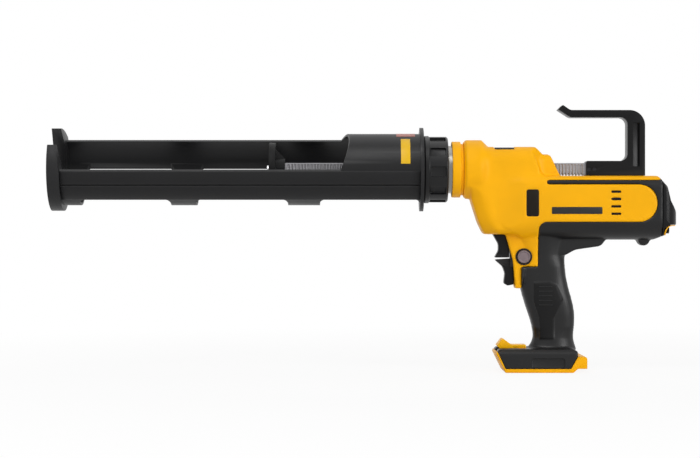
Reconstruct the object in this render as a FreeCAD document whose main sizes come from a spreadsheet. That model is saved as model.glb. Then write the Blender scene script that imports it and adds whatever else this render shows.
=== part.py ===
import FreeCAD, Part
import math
import os
import Sketcher

# Cordless caulking tool, in millimetres. The origin is at the middle of the foot's underside, +X runs to the
# rear along the plunger, +Z is up, and the carriage and plunger share one axis along X.

doc = FreeCAD.newDocument("caulking_tool")
sheet = doc.addObject("Spreadsheet::Sheet", "Sizes")

SIZES = {
    # Fits
    "run_gap": 0.3,
    "seat_gap": 0.15,
    "shaft_gap": 0.05,
    "cut_margin": 1,
    # Plunger axis, shared by carriage, collar, nose and rod
    "axis_height": 221.3,
    # Carriage
    "carriage_turn": 30.8,
    "trough_radius": 39.2,
    "trough_wall": 2.8,
    "trough_lip": 17.8,
    "trough_front": -536,
    "front_plate_thickness": 13.5,
    "ear_thickness": 9.5,
    "front_plate_radius": 45.3,
    "nozzle_slot_radius": 18.7,
    "tube_mouth": -218.5,
    "tube_mouth_slant": 10.3,
    "window_half_width": 34.6,
    "window_round": 5,
    "window_1_start": -503.5,
    "window_1_end": -404.5,
    "window_2_start": -376.6,
    "window_2_end": -276.4,
    "window_3_start": -241.6,
    "side_groove_width": 6,
    "side_groove_depth": 1,
    "flange_front": -132.2,
    "flange_thickness": 3.9,
    "flange_radius": 45.9,
    "hub_neck_radius": 23.5,
    "hub_shoulder_radius": 26.2,
    "hub_shoulder_length": 3,
    "hub_bore_radius": 10.4,
    # Collar nut
    "collar_lip_length": 4.2,
    "collar_length": 26.4,
    "collar_radius": 36,
    "collar_rim_radius": 37,
    "collar_rim_length": 5.5,
    "collar_phase": -10,
    "collar_pockets": 10,
    "collar_pocket_radius": 7,
    "collar_pocket_depth": 2.4,
    # Nose
    "sleeve_radius": 26.7,
    "sleeve_bore_radius": 12,
    "sleeve_rear": -58,
    "nose_ring_front": -97,
    "nose_ring_radius": 30.7,
    "nose_ring_length": 9.5,
    "nose_groove_radius": 28.3,
    "head_front": -84.5,
    # Rack rod
    "rod_width": 12,
    "rod_top_rise": 7.1,
    "rod_drop": 6.4,
    "rod_tail": 62,
    "tooth_module": 1.15,
    "rack_lead": 12,
    "rack_addendum": 0.9,
    "rack_dedendum": 1.3,
    "pressure_angle": 20,
    # Piston
    "piston_front": -297,
    "piston_radius": 29.5,
    "piston_thickness": 7,
    "piston_hub_radius": 12,
    "piston_length": 17,
    "piston_fin_thickness": 3,
    "piston_screw_radius": 2.4,
    "piston_screw_head_radius": 5,
    "piston_screw_head_height": 2.6,
    "piston_screw_length": 16,
    # Pull hook
    "hook_half_width": 10.5,
    "hook_front": 50,
    "hook_rear": 114.5,
    "hook_drop": 6.7,
    "hook_block_rise": 9.3,
    "hook_stem": 19.2,
    "hook_rise": 65,
    "hook_arm_thickness": 8,
    "hook_tip_x": 24.4,
    "hook_tip_rise": 5.8,
    "hook_tip_back": 5.1,
    "hook_tip_slope": 8.2,
    "hook_edge_round": 1.7,
    "hook_outer_round": 17,
    "hook_inner_round": 8,
    "hook_recess_inset": 6,
    "hook_recess_depth": 3.5,
    "hook_pin_radius": 2,
    "hook_pin_spacing": 6,
    # Drive
    "pinion_x": -21.35,
    "pinion_teeth": 18,
    "pinion_width": 11,
    "pinion_addendum": 1,
    "pinion_tip_clearance": 0.3,
    "pinion_backlash": 0.3,
    "shaft_radius": 4,
    "shaft_half_length": 19,
    "bush_radius": 5.4,
    "bush_start": 8,
    "bush_length": 9,
    "case_front": -46,
    "case_rear": 15,
    "case_half_width": 20,
    "case_drop": 9,
    "case_height": 54.5,
    "motor_drop": 42.5,
    "motor_radius": 24,
    "motor_length": 96,
    "motor_boss_radius": 8,
    "motor_boss_length": 6,
    "motor_shaft_radius": 2.5,
    "motor_shaft_length": 9,
    # Gear head
    "head_half_width": 27,
    "head_drop": 71.1,
    "head_rise": 24.7,
    "head_face": -76.6,
    "head_cheek": -68.6,
    "head_heel": -62.2,
    "head_heel_round": 5,
    "head_top_round": 17,
    "boss_radius": 32.5,
    "boss_length": 20.1,
    "boss_slope": 8,
    "tunnel_step": 1.5,
    "tunnel_rise": 16.5,
    "tunnel_slope": 11,
    "tunnel_rear": 20.7,
    "tunnel_half_width": 18,
    "guide_half_width": 10,
    "guide_wall": 2.2,
    "guide_length": 16,
    "guide_setback": 8.6,
    "insert_start": -50.8,
    "insert_length": 21.5,
    "insert_depth": 3,
    # Motor barrel
    "shoulder_front": -48,
    "barrel_front": -18,
    "shoulder_drop": 12,
    "barrel_half_width": 31,
    "barrel_drop": 77,
    "deck_drop": 7.3,
    "barrel_bottom_round": 24,
    "barrel_top_round": 9,
    "cap_front": 131,
    "cap_rear": 147.4,
    "cap_shoulder": 136.2,
    "cap_waist": 140.1,
    "cap_plan_round": 16,
    "panel_drop": 57.7,
    "panel_height": 40.8,
    "panel_flat": 1,
    "panel_rear": 125,
    "groove_front": 5,
    "groove_height": 4.6,
    "groove_depth": 1.5,
    "vent_start": 74.7,
    "vent_length": 10.8,
    "vent_height": 2.6,
    "vent_pitch": 8,
    "vent_drop": 50.1,
    "pad_front": -17.6,
    "pad_length": 14.4,
    "pad_drop": 52,
    "pad_height": 30.1,
    "pad_depth": 1.5,
    "lug_x": 113.4,
    "lug_radius": 6.5,
    "lug_half_width": 9,
    "dial_drop": 66,
    "dial_radius": 4.2,
    "dial_front": 128,
    "dial_rear": 142,
    # Handle
    "grip_split": -3.2,
    "grip_split_drop": 35.4,
    "grip_root": 2,
    "prong_rear": -21,
    "prong_front": -27.8,
    "prong_length": 59.1,
    "prong_half_width": 13,
    "web_half_width": 13,
    "web_rear": 77,
    "web_heel": 66,
    "web_heel_drop": 7,
    "web_arch": 38,
    "web_arch_drop": 11,
    "web_drop": 17,
    # Trigger and lock
    "trigger_half_width": 7,
    "trigger_travel": 6,
    "trigger_front": -52.7,
    "trigger_scoop": -45.8,
    "trigger_tip": -50,
    "trigger_tip_drop": 25.5,
    "trigger_lead": 1.5,
    "trigger_tip_round": 0.8,
    "trigger_finger": 15,
    "trigger_finger_round": 8,
    "trigger_slit": 2.2,
    "trigger_slit_rise": 1.2,
    "trigger_low_scoop": -38.6,
    "trigger_toe_round": 2.5,
    "carrier_rear": -28.8,
    "carrier_thickness": 4,
    "plunger_radius": 3,
    "plunger_drop": 45.4,
    "plunger_length": 22,
    "switch_front": -14,
    "switch_rear": 16,
    "switch_half_width": 9,
    "switch_half_height": 11,
    "switch_margin": 14,
    "lock_x": -18.5,
    "lock_drop": 24.5,
    "lock_radius": 7,
    "lock_half_length": 16,
    "lock_waist_radius": 4,
    "lock_waist_half": 10.5,
    "bezel_radius": 9.2,
    "bezel_thickness": 1.2,
    # Foot
    "foot_margin": 2,
    "foot_chamfer": 4.6,
    "foot_bottom": 4.2,
    "foot_top": 25.8,
    "foot_front": -48.8,
    "foot_bottom_front": -40,
    "foot_bottom_rear": 31,
    "foot_rear": 38.5,
    "tray_wall": 2.6,
    "tray_block_rear": 48.6,
    "tray_block_low": 4.4,
    "tray_block_top": 17.3,
    "latch_front": -47.8,
    "latch_rear": -16.2,
    "latch_half_width": 12,
    "latch_rise": 3.4,
    "latch_peak_rise": 9.9,
    "latch_peak_front": -42.3,
    "latch_peak_length": 1.8,
    "latch_ramp_rear": -31.5,
    "latch_edge_round": 0.8,
    "latch_pocket_depth": 5,
    "latch_sole": 4.2,
    "latch_pin_x": -19,
    "latch_pin_radius": 1.25,
    "terminal_half_length": 20,
    "terminal_half_width": 18,
    "terminal_roof": 4.8,
    "blade_thickness": 1,
    "blade_height": 9,
    "blade_length": 14,
    "blade_pitch": 8,
    # Screws
    "screw_radius": 1.6,
    "screw_head_radius": 3.4,
    "screw_head_height": 3,
    "screw_seat": 8,
}

# Handle cross-sections: share of the way from the foot to the head, front edge, rear edge, half width.
GRIP_SECTIONS = [
    (0, -14.5, 40, 18.5),
    (0.05, -10.6, 38.2, 16.8),
    (0.1, -8.1, 36.9, 16),
    (0.16, -8.2, 37.1, 15.5),
    (0.25, -10.6, 37.8, 16),
    (0.35, -14.8, 37.2, 17),
    (0.45, -18.8, 34.4, 17.5),
    (0.55, -22, 31, 17),
    (0.68, -23, 28, 16.5),
    (0.82, -24, 27.6, 16.8),
    (0.93, -28, 29, 18.5),
    (1.06, -32, 33, 21),
]
for level, (share, front, rear, half_width) in enumerate(GRIP_SECTIONS, start=1):
    SIZES[f"grip_{level}_share"] = share
    SIZES[f"grip_{level}_front"] = front
    SIZES[f"grip_{level}_rear"] = rear
    SIZES[f"grip_{level}_half_width"] = half_width


class Dim:
    """A length with its number and the sheet formula that it comes from."""

    def __init__(self, number, formula):
        self.number = number
        self.formula = formula

    def join(self, other, sign, number):
        return Dim(number, f"({self.formula} {sign} {dim(other).formula})")

    def __add__(self, other):
        return self.join(other, "+", self.number + dim(other).number)

    def __sub__(self, other):
        return self.join(other, "-", self.number - dim(other).number)

    def __mul__(self, other):
        return self.join(other, "*", self.number * dim(other).number)

    def __truediv__(self, other):
        return self.join(other, "/", self.number / dim(other).number)

    def __radd__(self, other):
        return dim(other) + self

    def __rsub__(self, other):
        return dim(other) - self

    def __rmul__(self, other):
        return dim(other) * self

    def __neg__(self):
        return Dim(-self.number, f"(-{self.formula})")


def whole(value):
    """A length rounded down to a whole number, for counts."""
    return Dim(math.floor(value.number), f"floor({value.formula})")


def dim(value):
    if isinstance(value, Dim):
        return value
    return Dim(float(value), f"({float(value)!r})")


class Sizes:
    """The sheet's cells as named lengths."""


s = Sizes()
for row, (alias, value) in enumerate(SIZES.items(), start=1):
    sheet.set(f"A{row}", alias.replace("_", " "))
    sheet.set(f"B{row}", str(value))
    sheet.setAlias(f"B{row}", alias)
    setattr(s, alias, Dim(float(value), f"Sizes.{alias}"))
doc.recompute()

ALONG = {
    "X": FreeCAD.Rotation(FreeCAD.Vector(0, 1, 0), 90),
    "Y": FreeCAD.Rotation(FreeCAD.Vector(1, 0, 0), -90),
    "Z": FreeCAD.Rotation(),
}


def bind(thing, prop, size):
    thing.setExpression(prop, dim(size).formula)


def place(thing, x=0, y=0, z=0):
    for axis, size in zip("xyz", (x, y, z)):
        bind(thing, "Placement.Base." + axis, size)


def bar(name, along, radius, start, end, at=(0, 0)):
    """A round bar along one axis; at gives its other two coordinates in X, Y, Z order."""
    thing = doc.addObject("Part::Cylinder", name)
    thing.Placement = FreeCAD.Placement(FreeCAD.Vector(), ALONG[along])
    bind(thing, "Radius", radius)
    bind(thing, "Height", dim(end) - start)
    spot = list(at)
    spot.insert("XYZ".index(along), start)
    place(thing, *spot)
    return thing


def block(name, x, y, z):
    """A box between two values on each axis."""
    thing = doc.addObject("Part::Box", name)
    for prop, (low, high) in zip(("Length", "Width", "Height"), (x, y, z)):
        bind(thing, prop, dim(high) - low)
    place(thing, x[0], y[0], z[0])
    return thing


def fuse(name, *things):
    thing = doc.addObject("Part::MultiFuse", name)
    thing.Shapes = list(things)
    thing.Refine = True
    return thing


def common(name, *things):
    thing = doc.addObject("Part::MultiCommon", name)
    thing.Shapes = list(things)
    return thing


def cut(name, base, *tools):
    thing = doc.addObject("Part::Cut", name)
    thing.Base = base
    thing.Tool = tools[0] if len(tools) == 1 else fuse(name + "_tools", *tools)
    return thing


def group(name, things):
    thing = doc.addObject("Part::Compound", name)
    thing.Links = list(things)
    return thing


def plane_of(body, role):
    return [feature for feature in body.Origin.OriginFeatures if feature.Role == role][0]


def sketch_on(body, name, role, offset=0):
    sketch = body.newObject("Sketcher::SketchObject", name)
    sketch.AttachmentSupport = [(plane_of(body, role), "")]
    sketch.MapMode = "FlatFace"
    bind(sketch, "AttachmentOffset.Base.z", offset)
    return sketch


def draw(sketch, points):
    """A closed outline whose corners are held at the given lengths."""
    corners = [FreeCAD.Vector(dim(point[0]).number, dim(point[1]).number, 0) for point in points]
    count = len(points)
    for index in range(count):
        sketch.addGeometry(Part.LineSegment(corners[index], corners[(index + 1) % count]), False)
    for index in range(count):
        sketch.addConstraint(Sketcher.Constraint("Coincident", index, 2, (index + 1) % count, 1))
    for index, point in enumerate(points):
        for kind, letter, size in (("DistanceX", "across", point[0]), ("DistanceY", "up", point[1])):
            number = sketch.addConstraint(Sketcher.Constraint(kind, index, 1, dim(size).number))
            sketch.renameConstraint(number, f"{letter}_{index}")
            bind(sketch, f"Constraints.{letter}_{index}", size)


ROLE_AXES = {"XZ_Plane": (0, 2), "YZ_Plane": (1, 2), "XY_Plane": (0, 1)}


def round_corners(body, solid, role, points):
    """Rounds the padded outline's corners that have a third value, their radius."""
    doc.recompute()
    first, second = ROLE_AXES[role]
    by_radius = {}
    for point in points:
        if len(point) == 3:
            by_radius.setdefault(dim(point[2]).formula, []).append(point)
    for number, corners in enumerate(by_radius.values()):
        names = []
        for index, edge in enumerate(solid.Shape.Edges, start=1):
            ends = [vertex.Point for vertex in edge.Vertexes]
            for corner in corners:
                spot = (dim(corner[0]).number, dim(corner[1]).number)
                if all(abs(end[first] - spot[0]) + abs(end[second] - spot[1]) < 0.01 for end in ends):
                    names.append(f"Edge{index}")
        fillet = body.newObject("PartDesign::Fillet", f"{body.Name}_round_{number}")
        fillet.Base = (solid, names)
        bind(fillet, "Radius", corners[0][2])
        doc.recompute()
        solid = fillet
    return solid


def plate(name, points, low, high, role="XZ_Plane"):
    """An outline padded from low to high across its plane."""
    body = doc.addObject("PartDesign::Body", name)
    sketch = sketch_on(body, name + "_outline", role, -dim(high) if role == "XZ_Plane" else low)
    draw(sketch, points)
    pad = body.newObject("PartDesign::Pad", name + "_pad")
    pad.Profile = sketch
    bind(pad, "Length", dim(high) - low)
    round_corners(body, pad, role, points)
    return body


def turned(name, points):
    """A ring turned about the X axis from (x, radius) points."""
    body = doc.addObject("PartDesign::Body", name)
    sketch = sketch_on(body, name + "_profile", "XZ_Plane")
    draw(sketch, points)
    ring = body.newObject("PartDesign::Revolution", name + "_ring")
    ring.Profile = sketch
    ring.ReferenceAxis = (sketch, ["H_Axis"])
    ring.Angle = 360
    doc.recompute()
    return body


def rounded_box(name, x, half_width, z, low_round, high_round):
    """A long block along X with its four long edges rounded."""
    corners = [
        (-half_width, z[0], low_round),
        (half_width, z[0], low_round),
        (half_width, z[1], high_round),
        (-half_width, z[1], high_round),
    ]
    return plate(name, corners, x[0], x[1], "YZ_Plane")


nodes = []


def node(thing, name):
    thing.Label = name
    nodes.append(thing)
    return thing


FAR = 400

# Heights of the plunger's hook and of the casing, from the axis down to the head's underside.
hook_bottom = s.axis_height - s.hook_drop
hook_block_top = s.axis_height + s.hook_block_rise
hook_arm_top = s.axis_height + s.hook_rise
hook_arm_bottom = hook_arm_top - s.hook_arm_thickness
hook_tip_top = hook_arm_top + s.hook_tip_rise
case_top = s.axis_height - s.case_drop
case_bottom = case_top - s.case_height
motor_height = s.axis_height - s.motor_drop
head_top = s.axis_height + s.head_rise
tunnel_top = s.axis_height + s.tunnel_rise
deck_top = s.axis_height - s.deck_drop
barrel_bottom = s.axis_height - s.barrel_drop
panel_bottom = s.axis_height - s.panel_drop
panel_top = panel_bottom + s.panel_height
vent_lowest = s.axis_height - s.vent_drop
pad_bottom = s.axis_height - s.pad_drop
dial_height = s.axis_height - s.dial_drop
head_bottom = s.axis_height - s.head_drop

# Heights of the handle, trigger and lock, below the head, and of the latch and contacts in the foot.
trigger_tip_height = head_bottom - s.trigger_tip_drop
plunger_height = head_bottom - s.plunger_drop
lock_height = head_bottom - s.lock_drop
prong_bottom = head_bottom - s.prong_length
grip_split_low = head_bottom - s.grip_split_drop
grip_root = s.foot_top - s.grip_root
grip_heights = [
    grip_root + (head_bottom - grip_root) * getattr(s, f"grip_{level}_share")
    for level in range(1, len(GRIP_SECTIONS) + 1)
]
latch_top = s.foot_top + s.latch_rise
latch_peak = s.foot_top + s.latch_peak_rise
terminal_top = s.foot_top - s.latch_pocket_depth - s.terminal_roof

# Carriage: one black moulding, built with its opening upwards and then turned about its own axis.
trough_inner = s.trough_radius - s.trough_wall
plate_rear = s.trough_front + s.front_plate_thickness
flange_rear = s.flange_front + s.flange_thickness
collar_front = flange_rear + s.run_gap
collar_lip_rear = collar_front + s.collar_lip_length
shoulder_front = collar_lip_rear + s.run_gap
shoulder_rear = shoulder_front + s.hub_shoulder_length

trough_ring = cut(
    "trough_ring",
    bar("trough_outside", "X", s.trough_radius, plate_rear, s.flange_front),
    bar("trough_inside", "X", trough_inner, plate_rear, s.flange_front),
)
opening = plate(
    "trough_opening",
    [
        (plate_rear, s.trough_lip),
        (s.tube_mouth, s.trough_lip),
        (s.tube_mouth + s.tube_mouth_slant, s.trough_radius + s.cut_margin),
        (plate_rear, s.trough_radius + s.cut_margin),
    ],
    -s.trough_radius,
    s.trough_radius,
)
window_ends = (
    (s.window_1_start, s.window_1_end),
    (s.window_2_start, s.window_2_end),
    (s.window_3_start, s.flange_front),
)
windows = [
    plate(
        f"window_{number}",
        [
            (start, -s.window_half_width, s.window_round),
            (end, -s.window_half_width, s.window_round),
            (end, s.window_half_width, s.window_round),
            (start, s.window_half_width, s.window_round),
        ],
        -s.trough_radius - s.cut_margin,
        0,
        "XY_Plane",
    )
    for number, (start, end) in enumerate(window_ends, start=1)
]
side_grooves = [
    block(
        f"side_groove_{side}",
        (plate_rear, s.flange_front),
        (side * s.trough_radius - s.side_groove_depth, side * s.trough_radius + s.side_groove_depth),
        (-s.side_groove_width / 2, s.side_groove_width / 2),
    )
    for side in (-1, 1)
]
trough = cut("trough", trough_ring, opening, *windows, *side_grooves)
front_plate = cut(
    "front_plate",
    bar("front_disc", "X", s.front_plate_radius, s.trough_front, plate_rear),
    bar("nozzle_round", "X", s.nozzle_slot_radius, s.trough_front, plate_rear),
    block(
        "nozzle_slot",
        (s.trough_front, plate_rear),
        (-s.nozzle_slot_radius, s.nozzle_slot_radius),
        (0, s.front_plate_radius + s.cut_margin),
    ),
    plate(
        "ear_slant",
        [
            (plate_rear, s.trough_lip),
            (plate_rear, s.front_plate_radius),
            (s.trough_front + s.ear_thickness, s.front_plate_radius),
        ],
        -s.front_plate_radius,
        s.front_plate_radius,
    ),
)
hub = cut(
    "hub",
    fuse(
        "hub_steps",
        bar("flange", "X", s.flange_radius, s.flange_front, flange_rear),
        bar("hub_neck", "X", s.hub_neck_radius, flange_rear, shoulder_front),
        bar("hub_shoulder", "X", s.hub_shoulder_radius, shoulder_front, shoulder_rear),
    ),
    bar("hub_bore", "X", s.hub_bore_radius, s.flange_front, shoulder_rear),
)
carriage = node(fuse("carriage", trough, front_plate, hub), "carriage")
carriage.Placement = FreeCAD.Placement(FreeCAD.Vector(), FreeCAD.Rotation(FreeCAD.Vector(1, 0, 0), 1))
bind(carriage, "Placement.Rotation.Angle", s.carriage_turn)
place(carriage, z=s.axis_height)

# Collar nut: draws the carriage's shoulder against the nose sleeve. Its skirt is scalloped for the hand.
collar_rear = collar_front + s.collar_length
collar_chamber = s.sleeve_radius + s.run_gap
collar_rim_rear = collar_front + s.collar_rim_length
collar = turned(
    "collar_nut",
    [
        (collar_front, s.hub_neck_radius + s.run_gap),
        (collar_front, s.collar_rim_radius),
        (collar_rim_rear, s.collar_rim_radius),
        (collar_rim_rear, s.collar_radius),
        (collar_rear, s.collar_radius),
        (collar_rear, collar_chamber),
        (collar_lip_rear, collar_chamber),
        (collar_lip_rear, s.hub_neck_radius + s.run_gap),
    ],
)
pocket_sketch = sketch_on(collar, "collar_pocket_outline", "YZ_Plane", collar_rim_rear)
pocket_height = s.collar_radius + s.collar_pocket_radius - s.collar_pocket_depth
pocket_sketch.addGeometry(
    Part.Circle(
        FreeCAD.Vector(0, pocket_height.number, 0), FreeCAD.Vector(0, 0, 1), s.collar_pocket_radius.number
    ),
    False,
)
pocket_sketch.addConstraint(Sketcher.Constraint("PointOnObject", 0, 3, -2))
for kind, label, size in (
    ("DistanceY", "height", pocket_height),
    ("Radius", "radius", s.collar_pocket_radius),
):
    held = (kind, 0, 3, size.number) if kind == "DistanceY" else (kind, 0, size.number)
    pocket_sketch.renameConstraint(pocket_sketch.addConstraint(Sketcher.Constraint(*held)), label)
    bind(pocket_sketch, "Constraints." + label, size)
pocket = collar.newObject("PartDesign::Pocket", "collar_pocket")
pocket.Profile = pocket_sketch
pocket.Reversed = True
bind(pocket, "Length", collar_rear - collar_rim_rear)
doc.recompute()
scallops = collar.newObject("PartDesign::PolarPattern", "collar_scallops")
scallops.Originals = [pocket]
scallops.Axis = (plane_of(collar, "X_Axis"), [""])
scallops.Angle = 360
bind(scallops, "Occurrences", s.collar_pockets)
collar.Tip = scallops
collar.Placement = FreeCAD.Placement(FreeCAD.Vector(), FreeCAD.Rotation(FreeCAD.Vector(1, 0, 0), 1))
bind(collar, "Placement.Rotation.Angle", s.collar_phase)
place(collar, z=s.axis_height)
node(collar, "collar_nut")

# Nose: a turned metal sleeve that carries the collar, and the casing's ring round it.
sleeve_front = shoulder_rear + s.run_gap
axis = (0, s.axis_height)
node(
    cut(
        "nose_sleeve",
        bar("sleeve_outside", "X", s.sleeve_radius, sleeve_front, s.sleeve_rear, axis),
        bar("sleeve_inside", "X", s.sleeve_bore_radius, sleeve_front, s.sleeve_rear, axis),
    ),
    "nose_sleeve",
)
sleeve_seat_radius = s.sleeve_radius + s.seat_gap
nose_ring_rear = s.nose_ring_front + s.nose_ring_length
nose_ring = turned(
    "nose_ring",
    [
        (s.nose_ring_front, sleeve_seat_radius),
        (s.nose_ring_front, s.nose_ring_radius),
        (nose_ring_rear, s.nose_ring_radius),
        (nose_ring_rear, s.nose_groove_radius),
        (s.head_front, s.nose_groove_radius),
        (s.head_front, sleeve_seat_radius),
    ],
)
place(nose_ring, z=s.axis_height)
node(nose_ring, "nose_ring")

# Rack rod: a rectangular bar with stub teeth along its underside.
rod_top = s.axis_height + s.rod_top_rise
rod_bottom = s.axis_height - s.rod_drop
half_rod = s.rod_width / 2
rod_front = s.piston_front + s.piston_thickness
tooth_pitch = math.pi * s.tooth_module
mesh_tooth = whole((s.pinion_x - rod_front - s.rack_lead) / tooth_pitch) - 0.5
rack_start = s.pinion_x - tooth_pitch * mesh_tooth
rack_gaps = whole((s.hook_front - rack_start) / tooth_pitch)
pitch_height = rod_bottom + s.rack_addendum
root_height = pitch_height + s.rack_dedendum
flank = math.tan(math.radians(s.pressure_angle.number))
gap_bottom = tooth_pitch / 4 + s.rack_addendum * flank
gap_top = tooth_pitch / 4 - s.rack_dedendum * flank
rod = plate(
    "rod_bar",
    [
        (rod_front, rod_bottom),
        (s.rod_tail, rod_bottom),
        (s.rod_tail, rod_top),
        (rod_front, rod_top),
    ],
    -half_rod,
    half_rod,
)
gap_sketch = sketch_on(rod, "tooth_gap_outline", "XZ_Plane")
draw(
    gap_sketch,
    [
        (rack_start - gap_bottom, rod_bottom),
        (rack_start + gap_bottom, rod_bottom),
        (rack_start + gap_top, root_height),
        (rack_start - gap_top, root_height),
    ],
)
tooth_gap = rod.newObject("PartDesign::Pocket", "tooth_gap")
tooth_gap.Profile = gap_sketch
tooth_gap.SideType = "Symmetric"
bind(tooth_gap, "Length", s.rod_width + s.cut_margin * 2)
doc.recompute()
teeth = rod.newObject("PartDesign::LinearPattern", "rack_teeth")
teeth.Originals = [tooth_gap]
teeth.Direction = (plane_of(rod, "X_Axis"), [""])
bind(teeth, "Length", tooth_pitch * (rack_gaps - 1))
bind(teeth, "Occurrences", rack_gaps)
rod.Tip = teeth
doc.recompute()
screw_hole_radius = s.piston_screw_radius + s.seat_gap
screw_tail = s.piston_front + s.piston_screw_length
pin_spots = [
    s.hook_front + s.hook_pin_spacing / 2,
    s.hook_front + s.hook_pin_spacing * 1.5,
]
pin_hole_radius = s.hook_pin_radius + s.seat_gap
hook_width = (-s.hook_half_width, s.hook_half_width)
pin_holes = [
    bar(f"pin_hole_{index}", "Y", pin_hole_radius, *hook_width, (spot, s.axis_height))
    for index, spot in enumerate(pin_spots)
]
node(
    cut(
        "drilled_rod",
        rod,
        bar("rod_screw_hole", "X", screw_hole_radius, rod_front, screw_tail + s.cut_margin, axis),
        *pin_holes,
    ),
    "rack_rod",
)

# Piston plate: a disc with a socket for the rod and four fins behind it, held by one screw.
disc_rear = s.piston_front + s.piston_thickness
piston_rear = s.piston_front + s.piston_length
fin_half = s.piston_fin_thickness / 2
fin_reach = s.piston_radius - s.piston_thickness


def fins(name, role, middle):
    """A pair of triangular fins on opposite sides of the piston's socket."""
    outline = [
        (disc_rear - s.cut_margin, middle - fin_reach),
        (disc_rear, middle - fin_reach),
        (piston_rear, middle - s.piston_hub_radius),
        (piston_rear, middle + s.piston_hub_radius),
        (disc_rear, middle + fin_reach),
        (disc_rear - s.cut_margin, middle + fin_reach),
    ]
    across = middle if role == "XY_Plane" else dim(0)
    level = s.axis_height if role == "XY_Plane" else dim(0)
    return plate(name, outline, level - fin_half + across, level + fin_half + across, role)


socket_half = half_rod + s.seat_gap
node(
    cut(
        "piston_socket",
        fuse(
            "piston_body",
            bar("piston_disc", "X", s.piston_radius, s.piston_front, disc_rear, axis),
            bar("piston_hub", "X", s.piston_hub_radius, disc_rear, piston_rear, axis),
            fins("piston_fins_upright", "XZ_Plane", s.axis_height),
            fins("piston_fins_level", "XY_Plane", dim(0)),
        ),
        block(
            "rod_socket",
            (rod_front, piston_rear),
            (-socket_half, socket_half),
            (rod_bottom - s.seat_gap, rod_top + s.seat_gap),
        ),
        bar("piston_screw_hole", "X", screw_hole_radius, s.piston_front, rod_front, axis),
    ),
    "piston_plate",
)
piston_screw_front = s.piston_front - s.piston_screw_head_height
node(
    fuse(
        "piston_screw",
        bar("piston_screw_head", "X", s.piston_screw_head_radius, piston_screw_front, s.piston_front, axis),
        bar("piston_screw_shank", "X", s.piston_screw_radius, s.piston_front, screw_tail, axis),
    ),
    "piston_screw",
)

# Pull hook: a moulded handle on the rod's tail, with an I-section stem, pinned through the rod.
stem_front = s.hook_rear - s.hook_stem
hook_tip_left = s.hook_tip_x - s.hook_tip_back
hook_outline = [
    (hook_tip_left, hook_tip_top - s.hook_tip_back),
    (s.hook_tip_x, hook_tip_top, s.hook_edge_round),
    (s.hook_tip_x + s.hook_tip_slope, hook_arm_top, s.hook_tip_slope),
    (s.hook_rear, hook_arm_top, s.hook_outer_round),
    (s.hook_rear, hook_bottom),
    (s.hook_front, hook_bottom),
    (s.hook_front, hook_block_top, s.hook_edge_round),
    (stem_front, hook_block_top, s.hook_inner_round),
    (stem_front, hook_arm_bottom, s.hook_inner_round),
    (s.hook_tip_x + s.hook_tip_slope, hook_arm_bottom, s.hook_tip_slope),
]
hook_form = plate("hook_form", hook_outline, *hook_width)
hook_recesses = [
    block(
        f"hook_recess_{side}",
        (stem_front + s.hook_recess_inset, s.hook_rear - s.hook_recess_inset),
        (side * s.hook_half_width - s.hook_recess_depth, side * s.hook_half_width + s.hook_recess_depth),
        (hook_block_top - s.hook_recess_inset, hook_arm_bottom - s.hook_recess_inset),
    )
    for side in (-1, 1)
]
node(
    cut(
        "pull_hook",
        hook_form,
        *hook_recesses,
        block(
            "tail_socket",
            (s.hook_front, s.rod_tail + s.seat_gap),
            (-socket_half, socket_half),
            (hook_bottom, rod_top + s.seat_gap),
        ),
        *[
            bar(f"hook_pin_hole_{index}", "Y", pin_hole_radius, *hook_width, (spot, s.axis_height))
            for index, spot in enumerate(pin_spots)
        ],
    ),
    "pull_hook",
)
node(
    group(
        "hook_pins",
        [
            bar(f"hook_pin_{index}", "Y", s.hook_pin_radius, *hook_width, (spot, s.axis_height))
            for index, spot in enumerate(pin_spots)
        ],
    ),
    "hook_pins",
)

# Drive pinion: involute teeth in mesh with the rack, on a cross shaft in two bushes.
pitch_radius = s.tooth_module * s.pinion_teeth / 2
tip_radius = pitch_radius + s.pinion_addendum
pinion_root = pitch_radius - s.rack_addendum - s.pinion_tip_clearance
pinion_height = pitch_height - pitch_radius
base_radius = pitch_radius.number * math.cos(math.radians(s.pressure_angle.number))


def gap_half_angle(radius):
    """Half the angle of a tooth gap at a radius, from the involute of the base circle."""
    def involute(angle):
        return math.tan(angle) - angle

    at_pitch = math.radians(s.pressure_angle.number)
    here = math.acos(min(1, base_radius / radius))
    thickness = tooth_pitch.number / 2 - s.pinion_backlash.number
    tooth_half = thickness / (2 * pitch_radius.number) + involute(at_pitch) - involute(here)
    return math.pi / s.pinion_teeth.number - tooth_half


pinion = doc.addObject("PartDesign::Body", "pinion_gear")
blank_sketch = sketch_on(pinion, "pinion_blank_outline", "XZ_Plane")
blank_sketch.addGeometry(Part.Circle(FreeCAD.Vector(), FreeCAD.Vector(0, 0, 1), tip_radius.number), False)
blank_sketch.addConstraint(Sketcher.Constraint("Coincident", 0, 3, -1, 1))
blank_sketch.renameConstraint(
    blank_sketch.addConstraint(Sketcher.Constraint("Radius", 0, tip_radius.number)), "radius"
)
bind(blank_sketch, "Constraints.radius", tip_radius)
blank = pinion.newObject("PartDesign::Pad", "pinion_blank")
blank.Profile = blank_sketch
blank.SideType = "Symmetric"
bind(blank, "Length", s.pinion_width)
pinion_gap_sketch = sketch_on(pinion, "pinion_gap_outline", "XZ_Plane")
flank_radii = [
    pinion_root.number,
    base_radius,
    pitch_radius.number,
    tip_radius.number,
    (tip_radius + s.pinion_tip_clearance).number,
]
right_flank = [
    (radius * math.sin(gap_half_angle(radius)), radius * math.cos(gap_half_angle(radius)))
    for radius in flank_radii
]
left_flank = [(-across, up) for across, up in reversed(right_flank)]
draw(pinion_gap_sketch, right_flank + left_flank)
pinion_gap = pinion.newObject("PartDesign::Pocket", "pinion_gap")
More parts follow.
